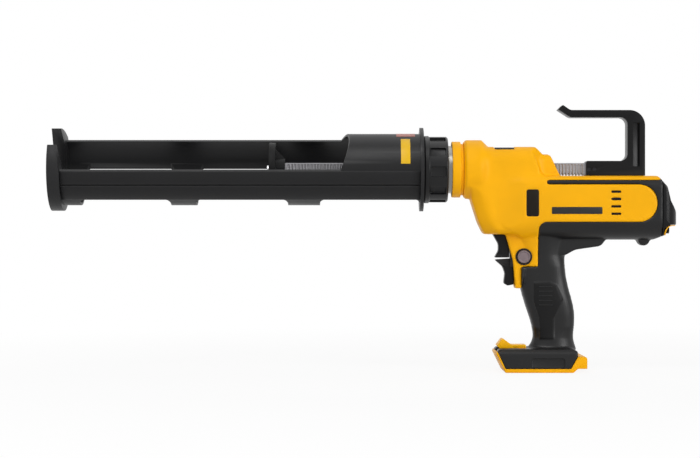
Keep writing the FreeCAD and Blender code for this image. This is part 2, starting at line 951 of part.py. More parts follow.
pinion_gap.Profile = pinion_gap_sketch
pinion_gap.SideType = "Symmetric"
bind(pinion_gap, "Length", s.pinion_width + s.cut_margin * 2)
doc.recompute()
pinion_teeth = pinion.newObject("PartDesign::PolarPattern", "pinion_tooth_ring")
pinion_teeth.Originals = [pinion_gap]
pinion_teeth.Axis = (plane_of(pinion, "Y_Axis"), [""])
pinion_teeth.Angle = 360
bind(pinion_teeth, "Occurrences", s.pinion_teeth)
pinion.Tip = pinion_teeth
place(pinion, s.pinion_x, 0, pinion_height)
half_pinion = s.pinion_width / 2
pinion_spot = (s.pinion_x, pinion_height)
node(
    cut(
        "drive_pinion",
        pinion,
        bar("pinion_bore", "Y", s.shaft_radius + s.shaft_gap, -half_pinion, half_pinion, pinion_spot),
    ),
    "drive_pinion",
)
node(
    bar("pinion_shaft", "Y", s.shaft_radius, -s.shaft_half_length, s.shaft_half_length, pinion_spot),
    "pinion_shaft",
)
bush_end = s.bush_start + s.bush_length
bush_bore = s.shaft_radius + s.shaft_gap
bush_spans = ((-bush_end, -s.bush_start), (s.bush_start, bush_end))
node(
    group(
        "shaft_bushes",
        [
            cut(
                f"shaft_bush_{index}",
                bar(f"bush_outside_{index}", "Y", s.bush_radius, start, end, pinion_spot),
                bar(f"bush_inside_{index}", "Y", bush_bore, start, end, pinion_spot),
            )
            for index, (start, end) in enumerate(bush_spans)
        ],
    ),
    "shaft_bushes",
)

# Gearbox case and motor: sealed units on one line, below the rod.
bush_seat = s.bush_radius + s.seat_gap
pinion_room = tip_radius + s.run_gap * 2
pinion_span = (-half_pinion - s.run_gap, half_pinion + s.run_gap)
shaft_room = s.shaft_radius + s.run_gap
motor_spot = (0, motor_height)
motor_rear = s.case_rear + s.motor_length
boss_end = motor_rear + s.motor_boss_length
shaft_tip = s.case_rear - s.motor_shaft_length
node(
    cut(
        "gearbox_case",
        block(
            "gearbox_block",
            (s.case_front, s.case_rear),
            (-s.case_half_width, s.case_half_width),
            (case_bottom, case_top),
        ),
        bar("pinion_chamber", "Y", pinion_room, *pinion_span, pinion_spot),
        bar("shaft_way", "Y", shaft_room, -s.case_half_width, s.case_half_width, pinion_spot),
        *[
            bar(f"bush_seat_{index}", "Y", bush_seat, start, end, pinion_spot)
            for index, (start, end) in enumerate(bush_spans)
        ],
        bar(
            "motor_shaft_hole",
            "X",
            s.motor_shaft_radius + s.seat_gap,
            shaft_tip - s.seat_gap,
            s.case_rear,
            motor_spot,
        ),
    ),
    "gearbox_case",
)
node(
    fuse(
        "motor",
        bar("motor_can", "X", s.motor_radius, s.case_rear, motor_rear, motor_spot),
        bar("motor_boss", "X", s.motor_boss_radius, motor_rear, boss_end, motor_spot),
        bar("motor_shaft", "X", s.motor_shaft_radius, shaft_tip, s.case_rear, motor_spot),
    ),
    "motor",
)

# Rod guides: a round one in the sleeve and a square one at the tunnel's rear, both with a slot for the bar.
slot_half = half_rod + s.run_gap
slot_heights = (rod_bottom - s.run_gap, rod_top + s.run_gap)
front_guide = (s.nose_ring_front, s.nose_ring_front + s.guide_length)
node(
    cut(
        "rod_guide_front",
        bar("front_guide_ring", "X", s.sleeve_bore_radius - s.seat_gap, *front_guide, axis),
        block("front_guide_slot", front_guide, (-slot_half, slot_half), slot_heights),
    ),
    "rod_guide_front",
)
rear_guide_end = s.tunnel_rear - s.guide_setback
rear_guide_start = rear_guide_end - s.guide_length
guide_heights = (rod_bottom - s.guide_wall, rod_top + s.guide_wall)
node(
    cut(
        "rod_guide_rear",
        block(
            "rear_guide_block",
            (rear_guide_start, rear_guide_end),
            (-s.guide_half_width, s.guide_half_width),
            guide_heights,
        ),
        block("rear_guide_slot", (rear_guide_start, rear_guide_end), (-slot_half, slot_half), slot_heights),
    ),
    "rod_guide_rear",
)

# Outer form of the casing: gear head with its round boss, rod tunnel, motor barrel, handle, web and foot.
boss_rear = s.head_front + s.boss_length
head_outline = [
    (s.head_face, s.axis_height - s.boss_radius),
    (s.head_face, head_top),
    (s.tunnel_step - s.boss_slope, head_top),
    (s.tunnel_step, tunnel_top),
    (s.tunnel_step, head_bottom),
    (s.head_heel, head_bottom, s.head_heel_round),
    (s.head_cheek, panel_bottom),
]
head = common(
    "head",
    plate("head_side", head_outline, -s.head_half_width, s.head_half_width),
    rounded_box(
        "head_section",
        (s.head_face, s.tunnel_step),
        s.head_half_width,
        (head_bottom, head_top),
        s.boss_slope,
        s.head_top_round,
    ),
)
boss = turned(
    "boss",
    [
        (s.head_front, 0),
        (s.head_front, s.boss_radius - s.trough_wall),
        (s.head_front + s.trough_wall, s.boss_radius),
        (boss_rear, s.boss_radius),
        (boss_rear + s.boss_slope, s.boss_radius - s.boss_slope),
        (boss_rear + s.boss_slope, 0),
    ],
)
place(boss, z=s.axis_height)
tunnel_outline = [
    (s.tunnel_step - s.boss_slope, deck_top - s.boss_slope),
    (s.tunnel_step - s.boss_slope, tunnel_top),
    (s.tunnel_rear - s.tunnel_slope, tunnel_top, s.groove_height),
    (s.tunnel_rear, deck_top),
    (s.tunnel_rear, deck_top - s.boss_slope),
]
tunnel = common(
    "tunnel",
    plate("tunnel_side", tunnel_outline, -s.tunnel_half_width, s.tunnel_half_width),
    rounded_box(
        "tunnel_section",
        (s.tunnel_step - s.boss_slope, s.tunnel_rear),
        s.tunnel_half_width,
        (deck_top - s.boss_slope, tunnel_top),
        s.groove_depth,
        s.boss_slope,
    ),
)
scoop_front = s.cap_front + s.tray_wall
rear_outline = [
    (s.barrel_front, barrel_bottom),
    (s.shoulder_front, panel_bottom),
    (s.shoulder_front, deck_top - s.shoulder_drop),
    (s.barrel_front, deck_top),
    (s.cap_front - s.groove_height, deck_top, s.groove_height),
    (s.cap_shoulder, panel_top - s.tray_wall),
    (s.cap_waist, motor_height + s.boss_slope),
    (s.cap_rear, motor_height - s.groove_height, s.groove_height),
    (s.cap_rear, dial_height + s.dial_radius + s.cut_margin),
    (scoop_front + s.groove_height, dial_height + s.dial_radius + s.cut_margin, s.tray_wall),
    (scoop_front, barrel_bottom + s.groove_height),
    (s.cap_front - s.boss_slope, barrel_bottom),
]
barrel = common(
    "barrel",
    plate("barrel_side", rear_outline, -s.barrel_half_width, s.barrel_half_width),
    rounded_box(
        "barrel_section",
        (s.shoulder_front, s.cap_rear),
        s.barrel_half_width,
        (barrel_bottom, deck_top),
        s.barrel_bottom_round,
        s.barrel_top_round,
    ),
    plate(
        "barrel_plan",
        [
            (s.shoulder_front, -s.head_half_width),
            (s.barrel_front, -s.barrel_half_width),
            (s.cap_rear, -s.barrel_half_width, s.cap_plan_round),
            (s.cap_rear, s.barrel_half_width, s.cap_plan_round),
            (s.barrel_front, s.barrel_half_width),
            (s.shoulder_front, s.head_half_width),
        ],
        barrel_bottom,
        deck_top,
        "XY_Plane",
    ),
)
lug = bar("lug", "Y", s.lug_radius, -s.lug_half_width, s.lug_half_width, (s.lug_x, barrel_bottom))

grip_body = doc.addObject("PartDesign::Body", "grip_form")
grip_sketches = []
for level in range(1, len(GRIP_SECTIONS) + 1):
    front = getattr(s, f"grip_{level}_front")
    rear = getattr(s, f"grip_{level}_rear")
    half_width = getattr(s, f"grip_{level}_half_width")
    section = sketch_on(grip_body, f"grip_section_{level}", "XY_Plane", grip_heights[level - 1])
    middle = (front + rear) / 2
    section.addGeometry(
        Part.Ellipse(
            FreeCAD.Vector(rear.number, 0, 0),
            FreeCAD.Vector(middle.number, half_width.number, 0),
            FreeCAD.Vector(middle.number, 0, 0),
        ),
        False,
    )
    grip_sketches.append(section)
grip_loft = grip_body.newObject("PartDesign::AdditiveLoft", "grip_loft")
grip_loft.Profile = grip_sketches[0]
grip_loft.Sections = grip_sketches[1:]
doc.recompute()

prong = plate(
    "prong",
    [
        (s.prong_front - s.tunnel_slope, head_bottom + s.run_gap),
        (s.prong_front - s.tray_wall, lock_height - s.boss_slope / 2),
        (s.prong_front, prong_bottom),
        (s.prong_rear, prong_bottom),
        (s.prong_rear + s.tunnel_slope, head_bottom + s.run_gap),
    ],
    -s.prong_half_width,
    s.prong_half_width,
)
web = plate(
    "web",
    [
        (s.switch_rear, barrel_bottom + s.boss_slope),
        (s.web_rear, barrel_bottom + s.boss_slope),
        (s.web_heel, barrel_bottom - s.web_heel_drop, s.boss_slope),
        (s.web_arch, barrel_bottom - s.web_arch_drop, s.head_top_round),
        (s.switch_rear + s.tunnel_slope, barrel_bottom - s.web_drop),
        (s.switch_rear, barrel_bottom - s.web_drop),
    ],
    -s.web_half_width,
    s.web_half_width,
)
foot_half_width = s.barrel_half_width + s.foot_margin
foot_edge = foot_half_width - s.foot_chamfer
foot_outline = [
    (s.foot_front, s.foot_top - s.tray_wall),
    (s.foot_bottom_front, s.foot_bottom),
    (s.foot_bottom_rear, s.foot_bottom),
    (s.foot_rear, s.foot_top - s.boss_slope),
    (s.foot_rear, s.foot_top - s.tray_wall),
    (s.foot_rear - s.groove_height, s.foot_top),
    (s.foot_front + s.tray_wall, s.foot_top),
]
foot_section = [
    (-foot_half_width, s.foot_bottom),
    (foot_half_width, s.foot_bottom),
    (foot_half_width, s.foot_top - s.foot_chamfer),
    (foot_edge, s.foot_top),
    (-foot_edge, s.foot_top),
    (-foot_half_width, s.foot_top - s.foot_chamfer),
]
foot = common(
    "foot",
    plate("foot_side", foot_outline, -foot_half_width, foot_half_width),
    plate("foot_end", foot_section, s.foot_front, s.foot_rear, "YZ_Plane"),
)
casing = fuse("casing", head, boss, tunnel, barrel, lug, grip_body, prong, web, foot)

# Pockets that the inner pieces seat in, cut from every shell.
trigger_top = head_bottom + s.trigger_lead
trigger_room = s.trigger_half_width + s.run_gap
lock_room = s.lock_radius + s.shaft_gap
foot_floor = s.foot_top - s.latch_pocket_depth
latch_room = s.latch_half_width + s.run_gap
terminal_rear = s.terminal_half_length + s.seat_gap
pockets = [
    bar(
        "sleeve_seat",
        "X",
        sleeve_seat_radius,
        s.head_front - s.cut_margin,
        s.sleeve_rear + s.seat_gap,
        axis,
    ),
    block(
        "rod_way",
        (s.sleeve_rear, s.tunnel_rear + s.cut_margin),
        (-half_rod - s.cut_margin, half_rod + s.cut_margin),
        (rod_bottom - s.cut_margin, rod_top + s.cut_margin),
    ),
    block(
        "rear_guide_seat",
        (rear_guide_start - s.seat_gap, rear_guide_end + s.seat_gap),
        (-s.guide_half_width - s.seat_gap, s.guide_half_width + s.seat_gap),
        (guide_heights[0] - s.seat_gap, guide_heights[1] + s.seat_gap),
    ),
    block(
        "gearbox_seat",
        (s.case_front - s.seat_gap, s.case_rear + s.seat_gap),
        (-s.case_half_width - s.seat_gap, s.case_half_width + s.seat_gap),
        (case_bottom - s.seat_gap, case_top + s.seat_gap),
    ),
    bar("pinion_seat", "Y", pinion_room, *pinion_span, pinion_spot),
    bar("motor_seat", "X", s.motor_radius + s.seat_gap, s.case_rear, motor_rear + s.seat_gap, motor_spot),
    bar(
        "motor_boss_seat",
        "X",
        s.motor_boss_radius + s.seat_gap,
        motor_rear,
        boss_end + s.seat_gap,
        motor_spot,
    ),
    block(
        "trigger_way",
        (s.head_front, s.prong_rear - s.run_gap),
        (-trigger_room, trigger_room),
        (prong_bottom + s.tray_wall, trigger_top + s.run_gap),
    ),
    bar(
        "plunger_way",
        "X",
        s.plunger_radius + s.run_gap,
        s.prong_rear - s.cut_margin,
        s.switch_front,
        (0, plunger_height),
    ),
    block(
        "switch_seat",
        (s.switch_front - s.seat_gap, s.switch_rear + s.seat_gap),
        (-s.switch_half_width - s.seat_gap, s.switch_half_width + s.seat_gap),
        (
            plunger_height - s.switch_half_height - s.seat_gap,
            plunger_height + s.switch_half_height + s.seat_gap,
        ),
    ),
    bar("lock_way", "Y", lock_room, -FAR, FAR, (s.lock_x, lock_height)),
    block(
        "latch_way",
        (s.latch_front - s.run_gap, s.latch_rear + s.run_gap * 2),
        (-latch_room, latch_room),
        (foot_floor, s.foot_top + s.tray_wall),
    ),
    bar(
        "latch_pin_seat",
        "Y",
        s.latch_pin_radius + s.seat_gap,
        -s.latch_half_width - s.tray_wall,
        s.latch_half_width + s.tray_wall,
        (s.latch_pin_x, s.foot_top - s.tray_wall / 2),
    ),
    block(
        "terminal_seat",
        (-terminal_rear, terminal_rear),
        (-s.terminal_half_width - s.seat_gap, s.terminal_half_width + s.seat_gap),
        (s.foot_bottom, terminal_top + s.seat_gap),
    ),
    bar(
        "dial_way",
        "X",
        s.dial_radius + s.shaft_gap,
        s.dial_front - s.run_gap,
        FAR,
        (0, dial_height),
    ),
    block(
        "insert_seat",
        (s.insert_start, s.insert_start + s.insert_length),
        (-FAR, FAR),
        (head_top - s.insert_depth, FAR),
    ),
]
for side in (-1, 1):
    bezel_seat = (s.prong_half_width, dim(FAR)) if side > 0 else (dim(-FAR), -s.prong_half_width)
    pockets.append(
        bar(f"bezel_seat_{side}", "Y", s.bezel_radius + s.seat_gap, *bezel_seat, (s.lock_x, lock_height))
    )
    face = side * s.barrel_half_width
    pockets.append(
        block(
            f"deck_groove_{side}",
            (s.groove_front, FAR),
            (face - s.groove_depth, face + s.groove_depth),
            (panel_top, panel_top + s.groove_height),
        )
    )
    pockets.append(
        block(
            f"pad_seat_{side}",
            (s.pad_front, s.pad_front + s.pad_length),
            (face - s.pad_depth, face + s.pad_depth),
            (pad_bottom, pad_bottom + s.pad_height),
        )
    )
    for slot in range(4):
        slot_bottom = vent_lowest + s.vent_pitch * slot
        pockets.append(
            block(
                f"vent_{side}_{slot}",
                (s.vent_start, s.vent_start + s.vent_length),
                (side * s.motor_radius, side * FAR) if side > 0 else (side * FAR, side * s.motor_radius),
                (slot_bottom, slot_bottom + s.vent_height),
            )
        )

# Casing screws, driven from the right side, at these places in the side view.
screw_places = [
    (s.insert_start, head_top - s.boss_slope),
    (s.case_front - s.tunnel_slope, head_bottom + s.boss_slope),
    (s.switch_rear / 2, barrel_bottom - s.screw_seat),
    (s.switch_rear / 2, plunger_height - s.switch_half_height - s.switch_margin),
    (s.switch_rear - s.tray_wall, grip_heights[3]),
    (s.web_arch + s.tunnel_slope, barrel_bottom - s.boss_slope / 2),
]
screws = []
for index, spot in enumerate(screw_places):
    screw_top = s.screw_seat + s.screw_head_height
    screws.append(
        fuse(
            f"screw_{index}",
            bar(f"screw_head_{index}", "Y", s.screw_head_radius, s.screw_seat, screw_top, spot),
            bar(f"screw_shank_{index}", "Y", s.screw_radius, -s.screw_seat, s.screw_seat, spot),
        )
    )
    clear_radius = s.screw_head_radius + s.run_gap
    pockets.append(bar(f"screw_well_{index}", "Y", clear_radius, s.screw_seat, FAR, spot))
    hole_end = -s.screw_seat - s.cut_margin
    hole_radius = s.screw_radius + s.seat_gap
    pockets.append(bar(f"screw_hole_{index}", "Y", hole_radius, hole_end, s.screw_seat, spot))
node(group("housing_screws", screws), "housing_screws")
all_pockets = fuse("all_pockets", *pockets)

# The yellow shells end along this line. Below and behind it the casing is the black grip.
panel_round = (s.panel_height - s.panel_flat) / 2
yellow_outline = [
    (-FAR, prong_bottom - s.groove_depth),
    (s.prong_rear, prong_bottom - s.groove_depth),
    (s.prong_rear, grip_split_low),
    (s.grip_split, grip_split_low),
    (s.grip_split, panel_bottom, s.boss_slope),
    (s.panel_rear, panel_bottom, panel_round),
    (s.panel_rear, panel_top, panel_round),
    (s.groove_front, panel_top),
    (s.groove_front, panel_top + s.groove_height),
    (s.cap_front - s.tray_wall, panel_top + s.groove_height),
    (s.cap_front - s.tray_wall, FAR),
    (-FAR, FAR),
]
yellow_zone = plate("yellow_zone", yellow_outline, -FAR, FAR)
left_half = block("left_half", (-FAR, FAR), (-FAR, 0), (-FAR, FAR))
right_half = block("right_half", (-FAR, FAR), (0, FAR), (-FAR, FAR))
cap_zone = block("cap_zone", (s.cap_front, FAR), (-FAR, FAR), (0, FAR))
hollow_casing = cut("hollow_casing", casing, all_pockets)
black_casing = cut("black_casing", hollow_casing, yellow_zone, cap_zone)
for side_name, half in (("left", left_half), ("right", right_half)):
    node(common(f"housing_{side_name}", hollow_casing, yellow_zone, half), f"housing_{side_name}")
    node(common(f"grip_{side_name}", black_casing, half), f"grip_{side_name}")
node(common("rear_cap", hollow_casing, cap_zone), "rear_cap")

# Trim set into the casing: the top insert and a dark pad on each side.
node(
    common(
        "top_insert",
        head,
        block(
            "insert_block",
            (s.insert_start + s.seat_gap, s.insert_start + s.insert_length - s.seat_gap),
            (-FAR, FAR),
            (head_top - s.insert_depth, head_top - s.insert_depth / 3),
        ),
    ),
    "top_insert",
)
for side_name, side in (("left", -1), ("right", 1)):
    inner = side * (s.barrel_half_width - s.pad_depth)
    outer = side * (s.barrel_half_width - s.pad_depth / 3)
    node(
        block(
            f"side_pad_{side_name}",
            (s.pad_front + s.seat_gap, s.pad_front + s.pad_length - s.seat_gap),
            (inner, outer) if side > 0 else (outer, inner),
            (pad_bottom + s.seat_gap, pad_bottom + s.pad_height - s.seat_gap),
        ),
        f"side_pad_{side_name}",
    )

# Trigger: two finger scallops, one above the other, on a carrier that pushes the switch plunger.
carrier_front = s.carrier_rear - s.carrier_thickness
trigger_low_tip = trigger_tip_height - s.trigger_slit
trigger_floor = prong_bottom + s.tray_wall + s.run_gap
half_finger = s.trigger_finger / 2
trigger_toe = s.trigger_low_scoop - s.tray_wall / 2
node(
    plate(
        "trigger_upper",
        [
            (s.trigger_front, trigger_top),
            (s.trigger_scoop, trigger_tip_height + s.trigger_finger, s.trigger_finger_round),
            (s.trigger_scoop, trigger_tip_height + half_finger, s.trigger_finger_round),
            (s.trigger_tip, trigger_tip_height, s.trigger_tip_round),
            (carrier_front, trigger_tip_height),
            (carrier_front, trigger_top),
        ],
        -s.trigger_half_width,
        s.trigger_half_width,
    ),
    "trigger_upper",
)
node(
    plate(
        "trigger_lower",
        [
            (s.trigger_tip, trigger_low_tip, s.trigger_tip_round),
            (s.trigger_low_scoop - s.tray_wall, trigger_low_tip - half_finger, s.trigger_finger_round),
            (s.trigger_low_scoop, trigger_low_tip - s.trigger_finger, s.trigger_finger_round),
            (trigger_toe, trigger_floor + s.trigger_toe_round, s.trigger_toe_round),
            (s.trigger_low_scoop + s.tray_wall, trigger_floor, s.trigger_toe_round),
            (s.prong_front, trigger_floor),
            (s.prong_front, grip_split_low),
            (carrier_front, grip_split_low),
            (carrier_front, trigger_low_tip + s.trigger_slit_rise),
        ],
        -s.trigger_half_width,
        s.trigger_half_width,
    ),
    "trigger_lower",
)
node(
    block(
        "trigger_carrier",
        (carrier_front, s.carrier_rear),
        (-s.trigger_half_width, s.trigger_half_width),
        (grip_split_low, trigger_top),
    ),
    "trigger_carrier",
)
node(
    bar(
        "switch_plunger",
        "X",
        s.plunger_radius,
        s.prong_front,
        s.prong_front + s.plunger_length,
        (0, plunger_height),
    ),
    "switch_plunger",
)
node(
    cut(
        "switch_module",
        block(
            "switch_block",
            (s.switch_front, s.switch_rear),
            (-s.switch_half_width, s.switch_half_width),
            (plunger_height - s.switch_half_height, plunger_height + s.switch_half_height),
        ),
        bar(
            "plunger_bore",
            "X",
            s.plunger_radius + s.run_gap,
            s.switch_front,
            s.prong_front + s.plunger_length + s.trigger_travel + s.cut_margin,
            (0, plunger_height),
        ),
    ),
    "switch_module",
)

# Lock button: a cross bolt through the handle, with a dark bezel on each side.
lock_spot = (s.lock_x, lock_height)
lock_span = (-s.lock_half_length, s.lock_half_length)
waist_span = (-s.lock_waist_half, s.lock_waist_half)
node(
    fuse(
        "lock_button",
        bar("lock_end_left", "Y", s.lock_radius, lock_span[0], waist_span[0], lock_spot),
        bar("lock_waist", "Y", s.lock_waist_radius, *waist_span, lock_spot),
        bar("lock_end_right", "Y", s.lock_radius, waist_span[1], lock_span[1], lock_spot),
    ),
    "lock_button",
)
bezel_outer = s.prong_half_width + s.bezel_thickness
node(
    group(
        "lock_bezels",
        [
            cut(
                f"lock_bezel_{index}",
                bar(f"bezel_disc_{index}", "Y", s.bezel_radius, start, end, lock_spot),
                bar(f"bezel_hole_{index}", "Y", s.lock_radius + s.run_gap, start, end, lock_spot),
            )
            for index, (start, end) in enumerate(
                ((-bezel_outer, -s.prong_half_width), (s.prong_half_width, bezel_outer))
            )
        ],
    ),
    "lock_bezels",
)

# Speed dial: a small knob in the scoop under the rear cap.
node(bar("speed_dial", "X", s.dial_radius, s.dial_front, s.dial_rear, (0, dial_height)), "speed_dial")

# Foot tray: the yellow plate under the foot, with its front lip and rear block.
lip = s.tray_wall
node(
    plate(
        "foot_tray",
        [
            (s.foot_front, s.foot_top - lip),
            (s.foot_front - lip / 2, s.foot_top - lip * 2),
            (s.foot_bottom_front, 0),
            (s.foot_bottom_rear + lip, 0),
            (s.foot_rear, s.tray_block_low),
            (s.tray_block_rear, s.tray_block_low),
            (s.tray_block_rear, s.tray_block_top, lip),
            (s.foot_rear, s.tray_block_top),
            (s.foot_bottom_rear, s.foot_bottom),
            (s.foot_bottom_front, s.foot_bottom),
        ],
        -foot_half_width,
        foot_half_width,
    ),
    "foot_tray",
)

# Latch tab: a sprung thumb lever in the foot's top, on a cross pin.
latch_floor = s.foot_top - s.latch_sole
latch_form = plate(
    "latch_form",
    [
        (s.latch_front, s.foot_top + s.tray_wall),
        (s.latch_peak_front, latch_peak, s.latch_edge_round),
        (s.latch_peak_front + s.latch_peak_length, latch_peak, s.latch_edge_round),
        (s.latch_ramp_rear, latch_top, s.tray_wall),
        (s.latch_rear, latch_top),
        (s.latch_rear, latch_floor),
        (s.latch_pin_x - s.tray_wall * 2, latch_floor),
        (s.latch_pin_x - s.tray_wall * 2, s.foot_top),
        (s.latch_front + s.tray_wall, s.foot_top),
    ],
    -s.latch_half_width,
    s.latch_half_width,
)
latch_spot = (s.latch_pin_x, s.foot_top - s.tray_wall / 2)
node(
    cut(
        "latch_tab",
        latch_form,
        bar(
            "latch_pin_bore",
            "Y",
            s.latch_pin_radius + s.shaft_gap,
            -s.latch_half_width,
            s.latch_half_width,
            latch_spot,
        ),
    ),
    "latch_tab",
)
node(
    bar(
        "latch_pin",
        "Y",
        s.latch_pin_radius,
        -s.latch_half_width - s.tray_wall,
        s.latch_half_width + s.tray_wall,
        latch_spot,
    ),
    "latch_pin",
)

# Terminal block: battery contacts in the foot, above the tray.
blade_bottom = terminal_top - s.blade_height
blade_places = [s.blade_pitch * step for step in (-1.5, -0.5, 0.5, 1.5)]
blade_span = (-s.blade_length / 2, s.blade_length / 2)
blade_rooms = [
    block(
        f"blade_room_{index}",
        (blade_span[0] - s.seat_gap, blade_span[1] + s.seat_gap),
        (middle - s.blade_thickness / 2 - s.seat_gap, middle + s.blade_thickness / 2 + s.seat_gap),
        (s.foot_bottom, blade_bottom + s.blade_height - s.seat_gap),
    )
    for index, middle in enumerate(blade_places)
]
node(
    cut(
        "terminal_block",
        block(
            "terminal_body",
            (-s.terminal_half_length, s.terminal_half_length),
            (-s.terminal_half_width, s.terminal_half_width),
            (s.foot_bottom, terminal_top),
        ),
        *blade_rooms,
    ),
    "terminal_block",
)
node(
    group(
        "terminal_blades",
        [
            block(
                f"blade_{index}",
                blade_span,
                (middle - s.blade_thickness / 2, middle + s.blade_thickness / 2),
                (blade_bottom - s.seat_gap, blade_bottom + s.blade_height - s.seat_gap),
            )
            for index, middle in enumerate(blade_places)
        ],
    ),
    "terminal_blades",
)

doc.recompute()
for thing in doc.Objects:
    if "Invalid" in thing.State or "Error" in thing.State:
        raise RuntimeError(f"{thing.Label} failed: {thing.State}")
for thing in nodes:
    if thing.Shape.isNull() or not thing.Shape.isValid():
        raise RuntimeError(f"{thing.Label} has no valid shape")
    if not thing.Shape.Solids:
        raise RuntimeError(f"{thing.Label} has no solid")

os.makedirs("parts", exist_ok=True)
for thing in nodes:
    thing.Shape.exportStep(f"parts/{thing.Label}.step")
    print(thing.Label, len(thing.Shape.Solids), round(thing.Shape.Volume, 1))
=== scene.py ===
import math

import bpy
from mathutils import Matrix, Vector


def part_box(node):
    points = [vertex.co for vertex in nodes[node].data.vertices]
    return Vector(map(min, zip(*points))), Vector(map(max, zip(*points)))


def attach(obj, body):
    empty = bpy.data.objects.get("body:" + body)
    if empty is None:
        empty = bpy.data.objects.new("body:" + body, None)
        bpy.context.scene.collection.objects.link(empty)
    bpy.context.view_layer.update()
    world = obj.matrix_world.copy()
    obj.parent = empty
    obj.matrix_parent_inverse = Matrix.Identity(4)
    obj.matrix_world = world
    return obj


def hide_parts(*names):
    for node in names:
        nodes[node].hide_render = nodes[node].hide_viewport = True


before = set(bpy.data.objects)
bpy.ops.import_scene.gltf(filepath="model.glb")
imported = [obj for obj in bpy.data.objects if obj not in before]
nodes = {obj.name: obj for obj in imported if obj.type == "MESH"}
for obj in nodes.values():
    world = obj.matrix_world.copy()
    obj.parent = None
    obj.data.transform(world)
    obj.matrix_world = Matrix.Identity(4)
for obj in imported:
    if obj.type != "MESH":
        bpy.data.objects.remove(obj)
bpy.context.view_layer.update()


# Studio: the tool stands on a seamless white sheet that fades into a white backdrop and keeps a soft shadow.
# A broad lamp stands high in front, one at the right and one overhead. A fourth in front lights without gloss, as
# through a polariser, and a weak one stands behind. The camera is square to the left side.
def seen_straight(tree):
    """A share that is 1 for rays from the camera, a mirror or glass, and 0 for rays that light the tool."""
    ray = tree.nodes.new("ShaderNodeLightPath")
    share = ray.outputs["Is Camera Ray"]
    for ray_kind in ("Is Glossy Ray", "Is Transmission Ray"):
        either = tree.nodes.new("ShaderNodeMath")
        either.operation = "MAXIMUM"
        tree.links.new(share, either.inputs[0])
        tree.links.new(ray.outputs[ray_kind], either.inputs[1])
        share = either.outputs["Value"]
    return share


camera_distance = 2.13
picture_width = 0.770
sensor_width = 36.0
camera_x = -0.2086
camera_z = 0.1560
bpy.ops.object.camera_add(location=(camera_x, -camera_distance, camera_z), rotation=(math.pi / 2, 0, 0))
camera = bpy.context.object
camera.data.sensor_width = sensor_width
camera.data.lens = sensor_width * camera_distance / picture_width
bpy.context.scene.camera = camera
bpy.context.scene.view_settings.view_transform = "Standard"

sheet_size = 14.0
shadow_reach = 0.45
shadow_fade = 0.55
shadow_glow = 0.9
paper_white = 0.86
bpy.ops.mesh.primitive_plane_add(size=sheet_size, location=(0, 0, 0))
floor = bpy.context.object
floor.name = "floor"
floor_paper = bpy.data.materials.new("floor_paper")
floor_paper.use_nodes = True
floor_nodes = floor_paper.node_tree.nodes
floor_links = floor_paper.node_tree.links
paper_surface = floor_nodes["Principled BSDF"]
paper_surface.inputs["Base Color"].default_value = (paper_white, paper_white, paper_white, 1)
paper_surface.inputs["Roughness"].default_value = 0.9
paper_surface.inputs["Specular IOR Level"].default_value = 0.1
paper_glow = floor_nodes.new("ShaderNodeEmission")
paper_place = floor_nodes.new("ShaderNodeTexCoord")
paper_distance = floor_nodes.new("ShaderNodeVectorMath")
paper_distance.operation = "LENGTH"
paper_fade = floor_nodes.new("ShaderNodeMapRange")
paper_fade.inputs["From Min"].default_value = shadow_reach
paper_fade.inputs["From Max"].default_value = shadow_reach + shadow_fade
paper_fade.inputs["To Min"].default_value = shadow_glow
paper_fade.inputs["To Max"].default_value = 1.0
paper_share = floor_nodes.new("ShaderNodeMath")
paper_share.operation = "MULTIPLY"
paper_mix = floor_nodes.new("ShaderNodeMixShader")
floor_links.new(paper_place.outputs["Object"], paper_distance.inputs[0])
floor_links.new(paper_distance.outputs["Value"], paper_fade.inputs["Value"])
floor_links.new(paper_fade.outputs["Result"], paper_share.inputs[0])
floor_links.new(seen_straight(floor_paper.node_tree), paper_share.inputs[1])
floor_links.new(paper_share.outputs["Value"], paper_mix.inputs["Fac"])
floor_links.new(paper_surface.outputs["BSDF"], paper_mix.inputs[1])
floor_links.new(paper_glow.outputs["Emission"], paper_mix.inputs[2])
floor_links.new(paper_mix.outputs["Shader"], floor_nodes["Material Output"].inputs["Surface"])
floor.data.materials.append(floor_paper)

sky_strength = 0.12
studio = bpy.data.worlds.new("studio")
bpy.context.scene.world = studio
studio.use_nodes = True
sky_nodes = studio.node_tree.nodes
sky_links = studio.node_tree.links
sky_light = sky_nodes["Background"]
sky_light.inputs["Color"].default_value = (1, 1, 1, 1)
sky_light.inputs["Strength"].default_value = sky_strength
sky_seen = sky_nodes.new("ShaderNodeBackground")
sky_seen.inputs["Color"].default_value = (1, 1, 1, 1)
sky_seen.inputs["Strength"].default_value = 1.0
sky_mix = sky_nodes.new("ShaderNodeMixShader")
sky_links.new(seen_straight(studio.node_tree), sky_mix.inputs["Fac"])
sky_links.new(sky_light.outputs["Background"], sky_mix.inputs[1])
sky_links.new(sky_seen.outputs["Background"], sky_mix.inputs[2])
sky_links.new(sky_mix.outputs["Shader"], sky_nodes["World Output"].inputs["Surface"])

lamp_target = Vector((-0.15, 0, 0.18))
for lamp_name, lamp_place, lamp_width, lamp_watts, lamp_gloss in (
    ("key_light", (-0.8, -1.5, 2.3), 1.5, 29, True),
    ("fill_light", (1.6, -1.5, 0.7), 0.9, 22, True),
    ("top_light", (0.1, 0.4, 1.9), 1.5, 6, True),
    ("front_light", (-0.5, -2.6, 0.7), 1.6, 13, False),
    ("back_light", (-0.4, 2.2, 1.0), 1.4, 20, False),
):
    bpy.ops.object.light_add(type="AREA", location=lamp_place)
    lamp = bpy.context.object
    lamp.name = lamp_name
    lamp.data.size = lamp_width
    lamp.data.energy = lamp_watts
    lamp.visible_glossy = lamp_gloss
    lamp.rotation_euler = (lamp_target - Vector(lamp_place)).to_track_quat("-Z", "Y").to_euler()


